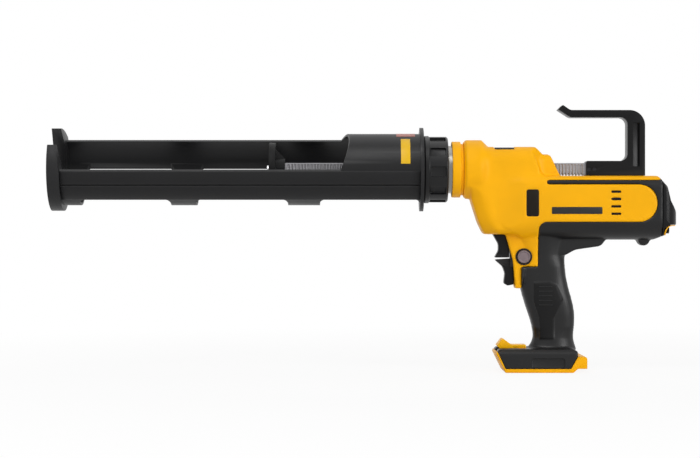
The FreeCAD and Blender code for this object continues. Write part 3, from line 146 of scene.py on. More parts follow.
# Motor, gearbox, switch and contacts: bought-in units that sit in the casing halves. They are plain machined
# metal and moulded plastic, and only show through the vents and the slot of the rod.
def finish_node(node_name, material):
    """Gives a carried-over CAD solid its finish."""
    for material_slot in nodes[node_name].material_slots:
        material_slot.material = material


def toned_surface(name, colour, shades, spread, roughness, swing):
    """A finish whose tone and gloss drift with one noise. Gives its material, coordinates, noise and tone."""
    material = bpy.data.materials.new(name)
    material.use_nodes = True
    tree = material.node_tree
    place = tree.nodes.new("ShaderNodeTexCoord")
    noise = tree.nodes.new("ShaderNodeTexNoise")
    tone = tree.nodes.new("ShaderNodeValToRGB")
    for stop, shade, position in zip(tone.color_ramp.elements, shades, (0.5 - spread, 0.5 + spread)):
        stop.position = position
        stop.color = [min(1, share * shade) for share in colour] + [1]
    gloss = tree.nodes.new("ShaderNodeMapRange")
    gloss.inputs["From Min"].default_value = 0.3
    gloss.inputs["From Max"].default_value = 0.7
    gloss.inputs["To Min"].default_value = roughness - swing
    gloss.inputs["To Max"].default_value = roughness + swing
    tree.links.new(noise.outputs["Fac"], tone.inputs["Fac"])
    tree.links.new(noise.outputs["Fac"], gloss.inputs["Value"])
    tree.links.new(gloss.outputs["Result"], tree.nodes["Principled BSDF"].inputs["Roughness"])
    return material, place, noise, tone


def add_relief(tree, noise, strength, depth):
    """Roughens a finish by a noise, to that depth in metres."""
    relief = tree.nodes.new("ShaderNodeBump")
    relief.inputs["Strength"].default_value = strength
    relief.inputs["Distance"].default_value = depth
    tree.links.new(noise.outputs["Fac"], relief.inputs["Height"])
    tree.links.new(relief.outputs["Normal"], tree.nodes["Principled BSDF"].inputs["Normal"])


def machined_metal(name, colour, roughness, lay):
    """Cut metal: tool marks drawn out along the axis that has the smallest number in lay, in lines per metre."""
    material, place, marks, tone = toned_surface(name, colour, (0.78, 1.08), 0.2, roughness, 0.08)
    tree = material.node_tree
    surface = tree.nodes["Principled BSDF"]
    surface.inputs["Metallic"].default_value = 1.0
    marks.inputs["Scale"].default_value = 1.0
    marks.inputs["Detail"].default_value = 4.0
    stretch = tree.nodes.new("ShaderNodeMapping")
    stretch.inputs["Scale"].default_value = lay
    tree.links.new(place.outputs["Object"], stretch.inputs["Vector"])
    tree.links.new(stretch.outputs["Vector"], marks.inputs["Vector"])
    tree.links.new(tone.outputs["Color"], surface.inputs["Base Color"])
    add_relief(tree, marks, 0.15, 0.0002)
    return material


def moulded_plastic(name, colour, roughness, grain, shine, rub_and_sheen=0.0):
    """Moulded plastic: an eroded grain of that size in metres, a slight drift of tone and gloss, and sharp edges
    painted lighter, partly as wear and partly as painted highlight.
    """
    material, place, drift, tone = toned_surface(name, colour, (0.94, 1.05), 0.15, roughness, 0.05)
    tree = material.node_tree
    surface = tree.nodes["Principled BSDF"]
    surface.inputs["Specular IOR Level"].default_value = shine
    drift.inputs["Scale"].default_value = 16.0
    drift.inputs["Detail"].default_value = 3.0
    pits = tree.nodes.new("ShaderNodeTexNoise")
    pits.inputs["Scale"].default_value = 1.0 / grain
    pits.inputs["Detail"].default_value = 2.0
    tree.links.new(place.outputs["Object"], drift.inputs["Vector"])
    tree.links.new(place.outputs["Object"], pits.inputs["Vector"])
    add_relief(tree, pits, 0.2, grain * 0.15)
    # Edges found by pointiness get a lighter colour: partly wear, partly a painted highlight that makes them catch
    # light.
    if rub_and_sheen:
        shape = tree.nodes.new("ShaderNodeNewGeometry")
        edges = tree.nodes.new("ShaderNodeMapRange")
        edges.inputs["From Min"].default_value = 0.53
        edges.inputs["From Max"].default_value = 0.62
        edges.inputs["To Max"].default_value = rub_and_sheen
        worn_and_lit = tree.nodes.new("ShaderNodeMix")
        worn_and_lit.data_type = "RGBA"
        worn_and_lit.inputs["B"].default_value = [share * 0.6 + 0.35 for share in colour] + [1]
        tree.links.new(shape.outputs["Pointiness"], edges.inputs["Value"])
        tree.links.new(edges.outputs["Result"], worn_and_lit.inputs["Factor"])
        tree.links.new(tone.outputs["Color"], worn_and_lit.inputs["A"])
        tree.links.new(worn_and_lit.outputs["Result"], surface.inputs["Base Color"])
    else:
        tree.links.new(tone.outputs["Color"], surface.inputs["Base Color"])
    return material


cast_aluminium = machined_metal("cast_aluminium", (0.56, 0.57, 0.58), 0.42, (900, 900, 900))
drawn_steel = machined_metal("drawn_steel", (0.34, 0.335, 0.35), 0.42, (60, 1800, 1800))
black_oxide = machined_metal("black_oxide", (0.03, 0.03, 0.033), 0.4, (900, 900, 900))
cross_ground_steel = machined_metal("cross_ground_steel", (0.62, 0.62, 0.63), 0.26, (1800, 60, 1800))
brass_strip = machined_metal("brass_strip", (0.78, 0.57, 0.25), 0.3, (1500, 1500, 60))
inner_plastic = moulded_plastic("inner_plastic", (0.02, 0.02, 0.022), 0.5, 0.0005, 0.25)
for node_name, node_finish in (
    ("gearbox_case", cast_aluminium),
    ("motor", drawn_steel),
    ("drive_pinion", cross_ground_steel),
    ("pinion_shaft", cross_ground_steel),
    ("shaft_bushes", brass_strip),
    ("rod_guide_front", inner_plastic),
    ("rod_guide_rear", inner_plastic),
    ("switch_module", inner_plastic),
    ("switch_plunger", inner_plastic),
    ("trigger_carrier", inner_plastic),
    ("terminal_block", inner_plastic),
    ("terminal_blades", brass_strip),
    ("latch_pin", cross_ground_steel),
    ("hook_pins", black_oxide),
    ("piston_screw", cross_ground_steel),
):
    finish_node(node_name, node_finish)


# Rack rod: a drawn steel bar whose teeth are rolled across its underside and show as ribs up both flanks. It runs
# through two guides, and its plain ends carry the piston and the hook.
def select_only(piece):
    """Makes one object the only selected and active one."""
    bpy.ops.object.select_all(action="DESELECT")
    piece.select_set(True)
    bpy.context.view_layer.objects.active = piece


def apply_modifiers(piece):
    """Applies a piece's modifiers in their order."""
    select_only(piece)
    for modifier in list(piece.modifiers):
        bpy.ops.object.modifier_apply(modifier=modifier.name)


def new_block(name, low, high):
    """A block between two corners, with its place in its mesh."""
    bpy.ops.object.select_all(action="DESELECT")
    middle = [(start + end) / 2 for start, end in zip(low, high)]
    sides = [end - start for start, end in zip(low, high)]
    bpy.ops.mesh.primitive_cube_add(size=1, location=middle, scale=sides)
    bpy.ops.object.transform_apply(location=True, rotation=True, scale=True)
    block = bpy.context.object
    block.name = name
    return block


def pick_points(piece, wanted):
    """Selects, in edit mode, the points whose place passes the test."""
    bpy.ops.object.mode_set(mode="EDIT")
    bpy.ops.mesh.select_mode(type="VERT")
    bpy.ops.mesh.select_all(action="DESELECT")
    bpy.ops.object.mode_set(mode="OBJECT")
    for point in piece.data.vertices:
        point.select = wanted(point.co)
    bpy.ops.object.mode_set(mode="EDIT")


def pick_faces(piece, wanted):
    """Selects, in edit mode, the faces whose middle and normal pass the test."""
    bpy.ops.object.mode_set(mode="EDIT")
    bpy.ops.mesh.select_mode(type="FACE")
    bpy.ops.mesh.select_all(action="DESELECT")
    bpy.ops.object.mode_set(mode="OBJECT")
    for face in piece.data.polygons:
        face.select = wanted(face.center, face.normal)
    bpy.ops.object.mode_set(mode="EDIT")


def slice_across(piece, direction, distances):
    """Cuts new edges round a piece, square to a direction, at distances along it."""
    select_only(piece)
    bpy.ops.object.mode_set(mode="EDIT")
    for distance in distances:
        bpy.ops.mesh.select_all(action="SELECT")
        bpy.ops.mesh.bisect(plane_co=Vector(direction) * distance, plane_no=direction)
    bpy.ops.object.mode_set(mode="OBJECT")


def bevel_sharp(piece, width, segments, bend):
    """Bevels the edges that bend more than so many degrees, after the modifiers that the piece already has."""
    ease = piece.modifiers.new("ease", "BEVEL")
    ease.width = width
    ease.segments = segments
    ease.limit_method = "ANGLE"
    ease.angle_limit = math.radians(bend)
    apply_modifiers(piece)


def close_normals(piece, bend):
    """Turns all faces outwards and smooths all but the sharp edges."""
    select_only(piece)
    bpy.ops.object.mode_set(mode="EDIT")
    bpy.ops.mesh.select_all(action="SELECT")
    bpy.ops.mesh.remove_doubles(threshold=weld_gap)
    bpy.ops.mesh.normals_make_consistent(inside=False)
    bpy.ops.object.mode_set(mode="OBJECT")
    bpy.ops.object.shade_smooth_by_angle(angle=math.radians(bend))


def stand_in(piece, body, slot, *node_names):
    """Puts a finished piece in the place of its CAD solids."""
    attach(piece, body)
    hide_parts(*node_names)


weld_gap = 0.000002
rod_front = -0.290
rod_tail = 0.062
rod_half_width = 0.006
rod_top = 0.2284
rod_bottom = 0.2149
tooth_module = 0.00115
tooth_addendum = 0.0009
tooth_dedendum = 0.0013
tooth_slope = math.tan(math.radians(20))
tooth_pitch = math.pi * tooth_module
tooth_count = 90
pinion_x = -0.02135
pitches_before_pinion = 70.5
first_gap = pinion_x - tooth_pitch * pitches_before_pinion
gap_mouth = tooth_pitch / 4 + tooth_addendum * tooth_slope
gap_floor = tooth_pitch / 4 - tooth_dedendum * tooth_slope
gap_depth = tooth_addendum + tooth_dedendum
rib_top = rod_top - 0.0014
rib_fade = 0.0009
rib_pinch = 0.9
rod = new_block(
    "rack_rod_bar",
    (first_gap - tooth_pitch / 2, -rod_half_width, rod_bottom),
    (first_gap + tooth_pitch / 2, rod_half_width, rod_top),
)
slice_across(rod, (1, 0, 0), [first_gap + step for step in (-gap_mouth, -gap_floor, gap_floor, gap_mouth)])
slice_across(rod, (0, 0, 1), [rib_top - rib_fade, rib_top])
pick_points(rod, lambda spot: abs(spot.x - first_gap) < gap_floor * 1.1 and spot.z < rod_bottom + rib_fade)
bpy.ops.transform.translate(value=(0, 0, gap_depth))
pick_points(rod, lambda spot: abs(spot.x - first_gap) < gap_floor * 1.1 and spot.z < rib_top - rib_fade / 2)
bpy.ops.transform.resize(value=(1, rib_pinch, 1), center_override=(first_gap, 0, rod_top))
pick_faces(rod, lambda middle, normal: abs(normal.x) > 0.99 and abs(middle.x - first_gap) > tooth_pitch * 0.45)
bpy.ops.mesh.delete(type="FACE")
bpy.ops.object.mode_set(mode="OBJECT")
teeth = rod.modifiers.new("teeth", "ARRAY")
teeth.count = tooth_count
teeth.use_relative_offset = False
teeth.use_constant_offset = True
teeth.constant_offset_displace = (tooth_pitch, 0, 0)
teeth.use_merge_vertices = True
teeth.merge_threshold = 0.00001
apply_modifiers(rod)
rack_front = first_gap - tooth_pitch / 2
rack_rear = rack_front + tooth_pitch * tooth_count
for rack_end, rod_end in ((rack_front, rod_front), (rack_rear, rod_tail)):
    pick_points(rod, lambda spot: abs(spot.x - rack_end) < 0.00002)
    bpy.ops.mesh.extrude_region_move(TRANSFORM_OT_translate={"value": (rod_end - rack_end, 0, 0)})
    bpy.ops.mesh.edge_face_add()
    bpy.ops.object.mode_set(mode="OBJECT")
close_normals(rod, 25)
rod.data.materials.append(drawn_steel)
stand_in(rod, "rod", "bright_steel", "rack_rod")


# Piston: a black moulded disc that pushes the cartridge, with a hub and four fins behind it, screwed to the rod.
# Its edges carry small moulded rounds, and its black is darkened further as painted shade for the trough it sits in.
def merged_copy(name, node_name, material):
    """A copy of a CAD solid with its loose triangles joined, in its own finish."""
    piece = bpy.data.objects.new(name, nodes[node_name].data.copy())
    bpy.context.collection.objects.link(piece)
    piece.data.materials.clear()
    piece.data.materials.append(material)
    for face in piece.data.polygons:
        face.material_index = 0
    select_only(piece)
    bpy.ops.object.mode_set(mode="EDIT")
    bpy.ops.mesh.select_all(action="SELECT")
    bpy.ops.mesh.remove_doubles(threshold=weld_gap)
    bpy.ops.object.mode_set(mode="OBJECT")
    return piece


def ease_edges(piece, width, segments=2, bend=35):
    """Rounds a piece's sharp edges to the given width."""
    select_only(piece)
    bpy.ops.object.mode_set(mode="EDIT")
    bpy.ops.mesh.select_all(action="SELECT")
    bpy.ops.mesh.dissolve_limited(angle_limit=math.radians(0.5))
    bpy.ops.object.mode_set(mode="OBJECT")
    bevel_sharp(piece, width, segments, bend)
    bpy.ops.object.shade_smooth_by_angle(angle=math.radians(bend))


def eased_copy(name, node_name, material, width, segments=2):
    """A copy of a CAD solid whose sharp edges are rounded to the given width."""
    piece = merged_copy(name, node_name, material)
    ease_edges(piece, width, segments)
    return piece


# A darker black than the other mouldings: painted shade for the piston in the trough and for the dark behind the
# vents.
shade_dark_moulding = moulded_plastic("shade_dark_moulding", (0.006, 0.006, 0.0062), 0.5, 0.0006, 0.12)
piston_edge = 0.0006
piston = eased_copy("piston_moulding", "piston_plate", shade_dark_moulding, piston_edge)
stand_in(piston, "rod", "dark_casting", "piston_plate")

# Pull hook: one black glass-filled moulding pinned to the rod's tail. Its stem has a hollow on each side whose floor
# slopes, and its edges are well rounded where the fingers pull.
hook_black = moulded_plastic("hook_black", (0.005, 0.005, 0.0053), 0.3, 0.0006, 0.16, 0.05)
hook_edge = 0.0016
hollow_floor = 0.0070
hollow_front = 0.1013
hollow_slope = 0.0024
corner_reach = 0.0002
hook = merged_copy("pull_hook_moulding", "pull_hook", hook_black)
for side in (-1, 1):
    pick_points(
        hook,
        lambda spot: abs(spot.x - hollow_front) < corner_reach and abs(side * spot.y - hollow_floor) < corner_reach,
    )
    bpy.ops.transform.translate(value=(0, side * hollow_slope, 0))
    bpy.ops.object.mode_set(mode="OBJECT")
ease_edges(hook, hook_edge, 3)
stand_in(hook, "rod", "black_plastic", "pull_hook")


# Casing halves: two yellow glass-filled nylon mouldings with a satin eroded skin, parted down the middle. Their
# edges carry the rounds of the mould, a web closes the wall behind the nose, and four vents are cut beside the motor.
def skin_afresh(piece, voxel, rounds):
    """Skins a solid with even small faces and eases them, which rounds every edge as a mould does."""
    skin = piece.modifiers.new("skin", "REMESH")
    skin.mode = "VOXEL"
    skin.voxel_size = voxel
    ease = piece.modifiers.new("ease", "SMOOTH")
    ease.factor = 0.5
    ease.iterations = rounds
    apply_modifiers(piece)
    bpy.ops.object.shade_smooth()


def rounded_slab(name, low, high, across, corner, edge):
    """A block between two corners: its four edges along one axis are rounded to corner, the others to edge."""
    slab = new_block(name, low, high)
    along = "XYZ".index(across)
    bpy.ops.object.mode_set(mode="EDIT")
    bpy.ops.mesh.select_mode(type="EDGE")
    bpy.ops.mesh.select_all(action="DESELECT")
    bpy.ops.object.mode_set(mode="OBJECT")
    for side_edge in slab.data.edges:
        first, second = (slab.data.vertices[index].co for index in side_edge.vertices)
        side_edge.select = abs(first[along] - second[along]) > 0.9 * (high[along] - low[along])
    bpy.ops.object.mode_set(mode="EDIT")
    bpy.ops.mesh.bevel(offset=corner, segments=6, affect="EDGES")
    bpy.ops.object.mode_set(mode="OBJECT")
    bevel_sharp(slab, edge, 2, 40)
    bpy.ops.object.shade_smooth_by_angle(angle=math.radians(30))
    return slab


def carve(piece, cutter):
    """Takes a cutter's shape out of a piece and throws the cutter away."""
    cutting = piece.modifiers.new("carve", "BOOLEAN")
    cutting.operation = "DIFFERENCE"
    cutting.object = cutter
    cutting.solver = "EXACT"
    apply_modifiers(piece)
    bpy.data.objects.remove(cutter, do_unlink=True)


def distance_from(along, up, path):
    """How far a point lies from a line of points in the side view."""
    nearest = 1.0
    for first, second in zip(path, path[1:]):
        run, rise = second[0] - first[0], second[1] - first[1]
        share = ((along - first[0]) * run + (up - first[1]) * rise) / (run * run + rise * rise)
        share = min(1.0, max(0.0, share))
        nearest = min(nearest, math.hypot(along - first[0] - run * share, up - first[1] - rise * share))
    return nearest


def weigh_points(piece, name, weight):
    """Gives a piece a vertex group, with a weight for each point from its place."""
    group = piece.vertex_groups.new(name=name)
    for point in piece.data.vertices:
        share = weight(point.co)
        if share > 0:
            group.add([point.index], min(1.0, share), "REPLACE")


def push_points(piece, group_name, direction, distance):
    """Moves the points of a vertex group along an axis, or along their normals."""
    push = piece.modifiers.new(group_name, "DISPLACE")
    push.vertex_group = group_name
    push.direction = direction
    push.mid_level = 0.0
    push.strength = distance
    apply_modifiers(piece)


casing_voxel = 0.0012
casing_rounds = 5
barrel_half_width = 0.031
head_half_width = 0.027
web_front = -0.0640
web_rear = -0.0580
web_bottom = 0.2440
web_top = 0.2520
web_drop = 0.0067
web_half_width = 0.0105
cheek_line = ((-0.0766, 0.1888), (-0.0686, 0.1636), (-0.0622, 0.1502))
cheek_reach = 0.0140
cheek_facet = 0.0130
cheek_cut = 0.0085
cheek_inner = 0.008
boss_end = -0.0600
boss_reach = 0.0130
boss_inner = 0.012
boss_band = 0.008
shoulder_line = ((-0.0480, 0.2020), (-0.0300, 0.2125), (-0.0020, 0.2140))
shoulder_reach = 0.0090
shoulder_inner = 0.020
shoulder_band = 0.004
blend_rounds = 90
tail_start = -0.0240
tail_end = 0.0015
tail_margin = 0.0008
tail_low = 0.2140
tail_high = 0.2378
tail_lean = 0.0090
tail_chamfer = 0.0015
tail_inner = 0.015
tail_outer = 0.023
tail_push = tail_lean + tail_chamfer
vent_count = 4
vent_start = 0.0747
vent_length = 0.0108
vent_height = 0.0026
vent_pitch = 0.008
vent_lowest = 0.1712
vent_floor = 0.0286
vent_edge = 0.0001
cutter_margin = 0.002
sides = (("left", -1), ("right", 1))
yellow_nylon = moulded_plastic("yellow_nylon", (0.9, 0.425, 0.0015), 0.42, 0.0006, 0.14)
for side_name, side in sides:
    across = sorted((0.0, side * web_half_width))
    web = new_block("boss_web", (web_front, across[0], web_bottom), (web_rear, across[1], web_top))
    pick_points(web, lambda spot: spot.x > web_front and spot.z > web_bottom)
    bpy.ops.transform.translate(value=(0, 0, -web_drop))
    bpy.ops.object.mode_set(mode="OBJECT")
    shell = merged_copy(f"casing_{side_name}", f"housing_{side_name}", yellow_nylon)
    web.select_set(True)
    bpy.ops.object.join()
    skin_afresh(shell, casing_voxel, casing_rounds)
    weigh_points(
        shell,
        "facet",
        lambda spot: max(0.0, 1 - distance_from(spot.x, spot.z, cheek_line) / cheek_facet)
        * max(0.0, (side * spot.y - cheek_inner) / (head_half_width - cheek_inner)),
    )
    push_points(shell, "facet", "Y", -side * cheek_cut)
    weigh_points(
        shell,
        "blend",
        lambda spot: max(
            1 - math.hypot(distance_from(spot.x, spot.z, cheek_line), side * spot.y - head_half_width) / cheek_reach,
            min(1 - abs(spot.x - boss_end) / boss_reach, (side * spot.y - boss_inner) / boss_band),
            min(
                1 - distance_from(spot.x, spot.z, shoulder_line) / shoulder_reach,
                (side * spot.y - shoulder_inner) / shoulder_band,
            ),
        ),
    )
    blend = shell.modifiers.new("blend", "SMOOTH")
    blend.factor = 0.5
    blend.iterations = blend_rounds
    blend.vertex_group = "blend"
    apply_modifiers(shell)
    weigh_points(
        shell,
        "tail",
        lambda spot: (tail_start < spot.x < tail_end + tail_margin and spot.z > tail_low)
        * min(1.0, (spot.x - tail_start) / (tail_end - tail_start))
        * min(1.0, max(0.0, (side * spot.y - tail_inner) / (tail_outer - tail_inner)))
        * (tail_chamfer + tail_lean * min(1.0, (spot.z - tail_low) / (tail_high - tail_low)))
        / tail_push,
    )
    push_points(shell, "tail", "X", -tail_push)
    across = sorted((side * vent_floor, side * (barrel_half_width + cutter_margin)))
    for vent in range(vent_count):
        vent_bottom = vent_lowest + vent * vent_pitch
        carve(
            shell,
            rounded_slab(
                "vent_cutter",
                (vent_start, across[0], vent_bottom),
                (vent_start + vent_length, across[1], vent_bottom + vent_height),
                "Y",
                vent_height * 0.4,
                vent_edge,
            ),
        )
    stand_in(shell, "tool", "yellow_plastic", f"housing_{side_name}")


# Vent screens: dark strips that lie behind the vents as painted shade, so the slots read dark as the shade inside them
# would.
# One is pressed into each casing half.
def add_on(piece, body, material):
    """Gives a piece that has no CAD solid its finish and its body."""
    piece.data.materials.append(material)
    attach(piece, body)


shade_sheet_margin = 0.001
shade_sheet_thickness = 0.0012
shade_sheet_edge = 0.0002
# Each strip's dark colour is painted shade for the inside of the vents.
for side_name, side in sides:
    across = sorted((side * vent_floor, side * (vent_floor + shade_sheet_thickness)))
    shade_sheet_top = vent_lowest + (vent_count - 1) * vent_pitch + vent_height + shade_sheet_margin
    vent_shade_sheet = rounded_slab(
        f"vent_painted_shade_{side_name}",
        (vent_start - shade_sheet_margin, across[0], vent_lowest - shade_sheet_margin),
        (vent_start + vent_length + shade_sheet_margin, across[1], shade_sheet_top),
        "Y",
        shade_sheet_margin,
        shade_sheet_edge,
    )
    add_on(vent_shade_sheet, "tool", shade_dark_moulding)

# Rating strips: bare black film plates with small round corners. One is stuck on the flat of the barrel on each side,
# below the panel's middle.
strip_film = moulded_plastic("strip_film", (0.012, 0.0115, 0.011), 0.3, 0.0009, 0.35)
strip_low = (0.0103, 0.1723)
strip_high = (0.0650, 0.1799)
strip_thickness = 0.0004
strip_corner = 0.0009
strip_edge = 0.0001
for side_name, side in sides:
    across = sorted((side * (barrel_half_width - strip_thickness), side * (barrel_half_width + strip_thickness)))
    strip = rounded_slab(
        f"rating_strip_{side_name}",
        (strip_low[0], across[0], strip_low[1]),
        (strip_high[0], across[1], strip_high[1]),
        "Y",
        strip_corner,
        strip_edge,
    )
    add_on(strip, "tool", strip_film)


# Handle halves: black rubber moulded over nylon, from the deck under the barrel down to the foot. A palm pad with
# fine ribs stands slightly proud on each side, and the foot's sides carry a shallow hollow.
def depth_inside(along, up, outline):
    """How far a point lies inside a convex outline in the side view, less than zero outside it."""
    depth = 1.0
    for first, second in zip(outline, outline[1:] + outline[:1]):
        run, rise = second[0] - first[0], second[1] - first[1]
        depth = min(depth, (run * (up - first[1]) - rise * (along - first[0])) / math.hypot(run, rise))
    return depth


def fullness(along, out, up):
    """How far a point of the handle moves out, from 0 to 1, so that its oval section gets flatter sides."""
    for (low, low_front, low_rear), (high, high_front, high_rear) in zip(grip_levels, grip_levels[1:]):
        if low <= up <= high and out > full_inner:
            share = (up - low) / (high - low)
            front = low_front + (high_front - low_front) * share
            rear = low_rear + (high_rear - low_rear) * share
            offset = min(full_edge, abs(2 * along - front - rear) / (rear - front))
            fade = min(1.0, (up - grip_levels[0][0]) / full_fade, (grip_levels[-1][0] - up) / full_fade)
            return fade * full_gain * ((1 - offset**3) ** (1 / 3) - (1 - offset**2) ** 0.5)
    return 0.0


def palm_depth(along, up):
    """How far a point lies inside the palm pad or its stalk in the side view, less than zero outside them."""
    return max(depth_inside(along, up, palm_outline), depth_inside(along, up, stalk_outline))


def paint_faces(piece, material, wanted):
    """Gives the faces whose middle and normal pass the test another finish."""
    piece.data.materials.append(material)
    select_only(piece)
    pick_faces(piece, wanted)
    piece.active_material_index = len(piece.data.materials) - 1
    bpy.ops.object.material_slot_assign()
    bpy.ops.object.mode_set(mode="OBJECT")


grip_rubber = moulded_plastic("grip_rubber", (0.0062, 0.0062, 0.0065), 0.38, 0.0005, 0.3, 0.05)
palm_rubber = moulded_plastic("palm_rubber", (0.0048, 0.0048, 0.005), 0.5, 0.0004, 0.18)
palm_outline = [
    (-0.0090, 0.0771),
    (-0.0030, 0.0592),
    (0.0149, 0.0592),
    (0.0199, 0.0691),
    (0.0246, 0.0791),
    (0.0179, 0.0950),
    (0.0099, 0.0985),
    (-0.0090, 0.0985),
]
stalk_outline = [(-0.0020, 0.0348), (0.0149, 0.0348), (0.0149, 0.0640), (-0.0030, 0.0640)]
palm_inner = 0.005
palm_rise = 0.0011
palm_fade = 0.0020
grip_levels = (
    (0.0365, -0.0081, 0.0369),
    (0.0554, -0.0106, 0.0378),
    (0.0680, -0.0148, 0.0372),
    (0.0807, -0.0188, 0.0344),
    (0.0933, -0.0220, 0.0310),
    (0.1098, -0.0230, 0.0280),
    (0.1274, -0.0240, 0.0276),
)
full_most = 0.0036
full_inner = 0.003
full_edge = 0.97
full_fade = 0.012
full_gain = 4.6
foot_half_width = 0.033
foot_hollow_low = (-0.0121, 0.0052)
foot_hollow_high = (0.0245, 0.0158)
foot_hollow_depth = 0.0022
foot_hollow_corner = 0.003
foot_hollow_edge = 0.0014
palm_rib_count = 5
palm_rib_front = -0.0025
palm_rib_ends = {"left": 0.0120, "right": 0.0030}
palm_rib_lowest = 0.0732
palm_rib_pitch = 0.00495
palm_rib_half_height = 0.0006
palm_rib_rise = 0.0006
palm_rib_outside = 0.06
for side_name, side in sides:
    grip = merged_copy(f"handle_{side_name}", f"grip_{side_name}", grip_rubber)
    skin_afresh(grip, casing_voxel, casing_rounds)
    weigh_points(grip, "full", lambda spot: fullness(spot.x, side * spot.y, spot.z))
    push_points(grip, "full", "Y", side * full_most)
    across = sorted((side * (foot_half_width - foot_hollow_depth), side * (foot_half_width + cutter_margin * 2)))
    carve(
        grip,
        rounded_slab(
            "foot_hollow_cutter",
            (foot_hollow_low[0], across[0], foot_hollow_low[1]),
            (foot_hollow_high[0], across[1], foot_hollow_high[1]),
            "Y",
            foot_hollow_corner,
            foot_hollow_edge,
        ),
    )
    weigh_points(
        grip,
        "palm",
        lambda spot: (side * spot.y > palm_inner) * palm_depth(spot.x, spot.z) / palm_fade,
    )
    push_points(grip, "palm", "NORMAL", palm_rise)
    paint_faces(
        grip,
        palm_rubber,
        lambda middle, normal: side * middle.y > palm_inner and palm_depth(middle.x, middle.z) > palm_fade / 2,
    )
    bpy.ops.object.shade_smooth_by_angle(angle=math.radians(50))
    stand_in(grip, "tool", "black_rubber", f"grip_{side_name}")
    palm_rib_rear = palm_rib_ends[side_name]
    for rib_number in range(palm_rib_count):
        rib_middle = palm_rib_lowest + rib_number * palm_rib_pitch
        bpy.ops.object.select_all(action="DESELECT")
        bpy.ops.mesh.primitive_grid_add(
            x_subdivisions=24,
            y_subdivisions=3,
            size=1,
            location=((palm_rib_front + palm_rib_rear) / 2, side * palm_rib_outside, rib_middle),
            rotation=(side * -math.pi / 2, 0, 0),
        )
        rib = bpy.context.object
        rib.name = f"palm_rib_{side_name}_{rib_number + 1}"
        rib.scale = (palm_rib_rear - palm_rib_front, palm_rib_half_height * 2, 1)
        bpy.ops.object.transform_apply(location=True, rotation=True, scale=True)
        laid = rib.modifiers.new("laid", "SHRINKWRAP")
        laid.target = grip
        laid.wrap_method = "PROJECT"
        laid.use_project_y = True
        laid.use_positive_direction = True
        laid.use_negative_direction = True
        laid.cull_face = "BACK"
        thick = rib.modifiers.new("thick", "SOLIDIFY")
        thick.thickness = palm_rib_rise * 2
        thick.offset = 0.0
        ease = rib.modifiers.new("ease", "BEVEL")
        ease.width = palm_rib_rise * 0.6
        ease.segments = 2
        apply_modifiers(rib)
        close_normals(rib, 40)
        add_on(rib, "tool", grip_rubber)


# Rear cap: one glossier black moulding that closes the barrel behind the casing halves. Its underside is scooped out
# round the speed dial.
gloss_black = moulded_plastic("gloss_black", (0.0048, 0.0048, 0.0054), 0.2, 0.0007, 0.17)
cap = merged_copy("rear_cap_moulding", "rear_cap", gloss_black)
cap_voxel = 0.0008
cap_rounds = 6
skin_afresh(cap, cap_voxel, cap_rounds)
stand_in(cap, "tool", "black_plastic", "rear_cap")


# Scoop lip: a thin yellow moulding that lines the scoop under the rear cap. It is pressed against the scoop's wall and
# roof, and the dial stands in a round hole in it.
def extrude_along(profile):
    """Draws what is selected along a line of points in the side view."""
    for here, there in zip(profile, profile[1:]):
        bpy.ops.mesh.extrude_region_move(
            TRANSFORM_OT_translate={"value": (there[0] - here[0], 0, there[1] - here[1])},
        )


lip_profile = (
    (0.1334, 0.1492),
    (0.1336, 0.1524),
    (0.1346, 0.1552),
    (0.1362, 0.1574),
    (0.1386, 0.1590),
    (0.1416, 0.1597),
    (0.1466, 0.1598),
)
lip_thickness = 0.0009
lip_half_width = 0.0298
lip_corner = 0.0150
lip_start = 0.001
lip_edge = 0.0001
lip_run_out = 0.0300
dial_way = 0.0052
dial_way_x = 0.1380
dial_way_length = 0.030
dial_height = 0.1553
bpy.ops.object.select_all(action="DESELECT")
bpy.ops.mesh.primitive_plane_add(size=1, location=(lip_profile[0][0], 0, lip_profile[0][1]))
lip = bpy.context.object
lip.name = "scoop_lip"
lip.scale = (lip_start, lip_half_width * 2, 1)
bpy.ops.object.transform_apply(location=True, rotation=True, scale=True)
pick_points(lip, lambda spot: spot.x < lip_profile[0][0])
bpy.ops.mesh.delete(type="VERT")
bpy.ops.mesh.select_all(action="SELECT")
bpy.ops.transform.translate(value=(-lip_start / 2, 0, 0))
extrude_along(lip_profile)
bpy.ops.object.mode_set(mode="OBJECT")
thick = lip.modifiers.new("thick", "SOLIDIFY")
thick.thickness = lip_thickness
thick.offset = 0.0
apply_modifiers(lip)
close_normals(lip, 30)
plan = rounded_slab(
    "lip_plan",
    (lip_profile[0][0] - lip_run_out, -lip_half_width, lip_profile[0][1] - cutter_margin),
    (lip_profile[-1][0], lip_half_width, lip_profile[-1][1] + cutter_margin),
    "Z",
    lip_corner,
    lip_edge,
)
trim = lip.modifiers.new("trim", "BOOLEAN")
trim.operation = "INTERSECT"
trim.object = plan
trim.solver = "EXACT"
apply_modifiers(lip)
bpy.data.objects.remove(plan, do_unlink=True)
bpy.ops.object.select_all(action="DESELECT")
bpy.ops.mesh.primitive_cylinder_add(
    vertices=48,
    radius=dial_way,
    depth=dial_way_length,
    location=(dial_way_x, 0, dial_height),
    rotation=(0, math.pi / 2, 0),
)
bpy.ops.object.transform_apply(location=True, rotation=True, scale=True)
carve(lip, bpy.context.object)
close_normals(lip, 30)
add_on(lip, "tool", yellow_nylon)


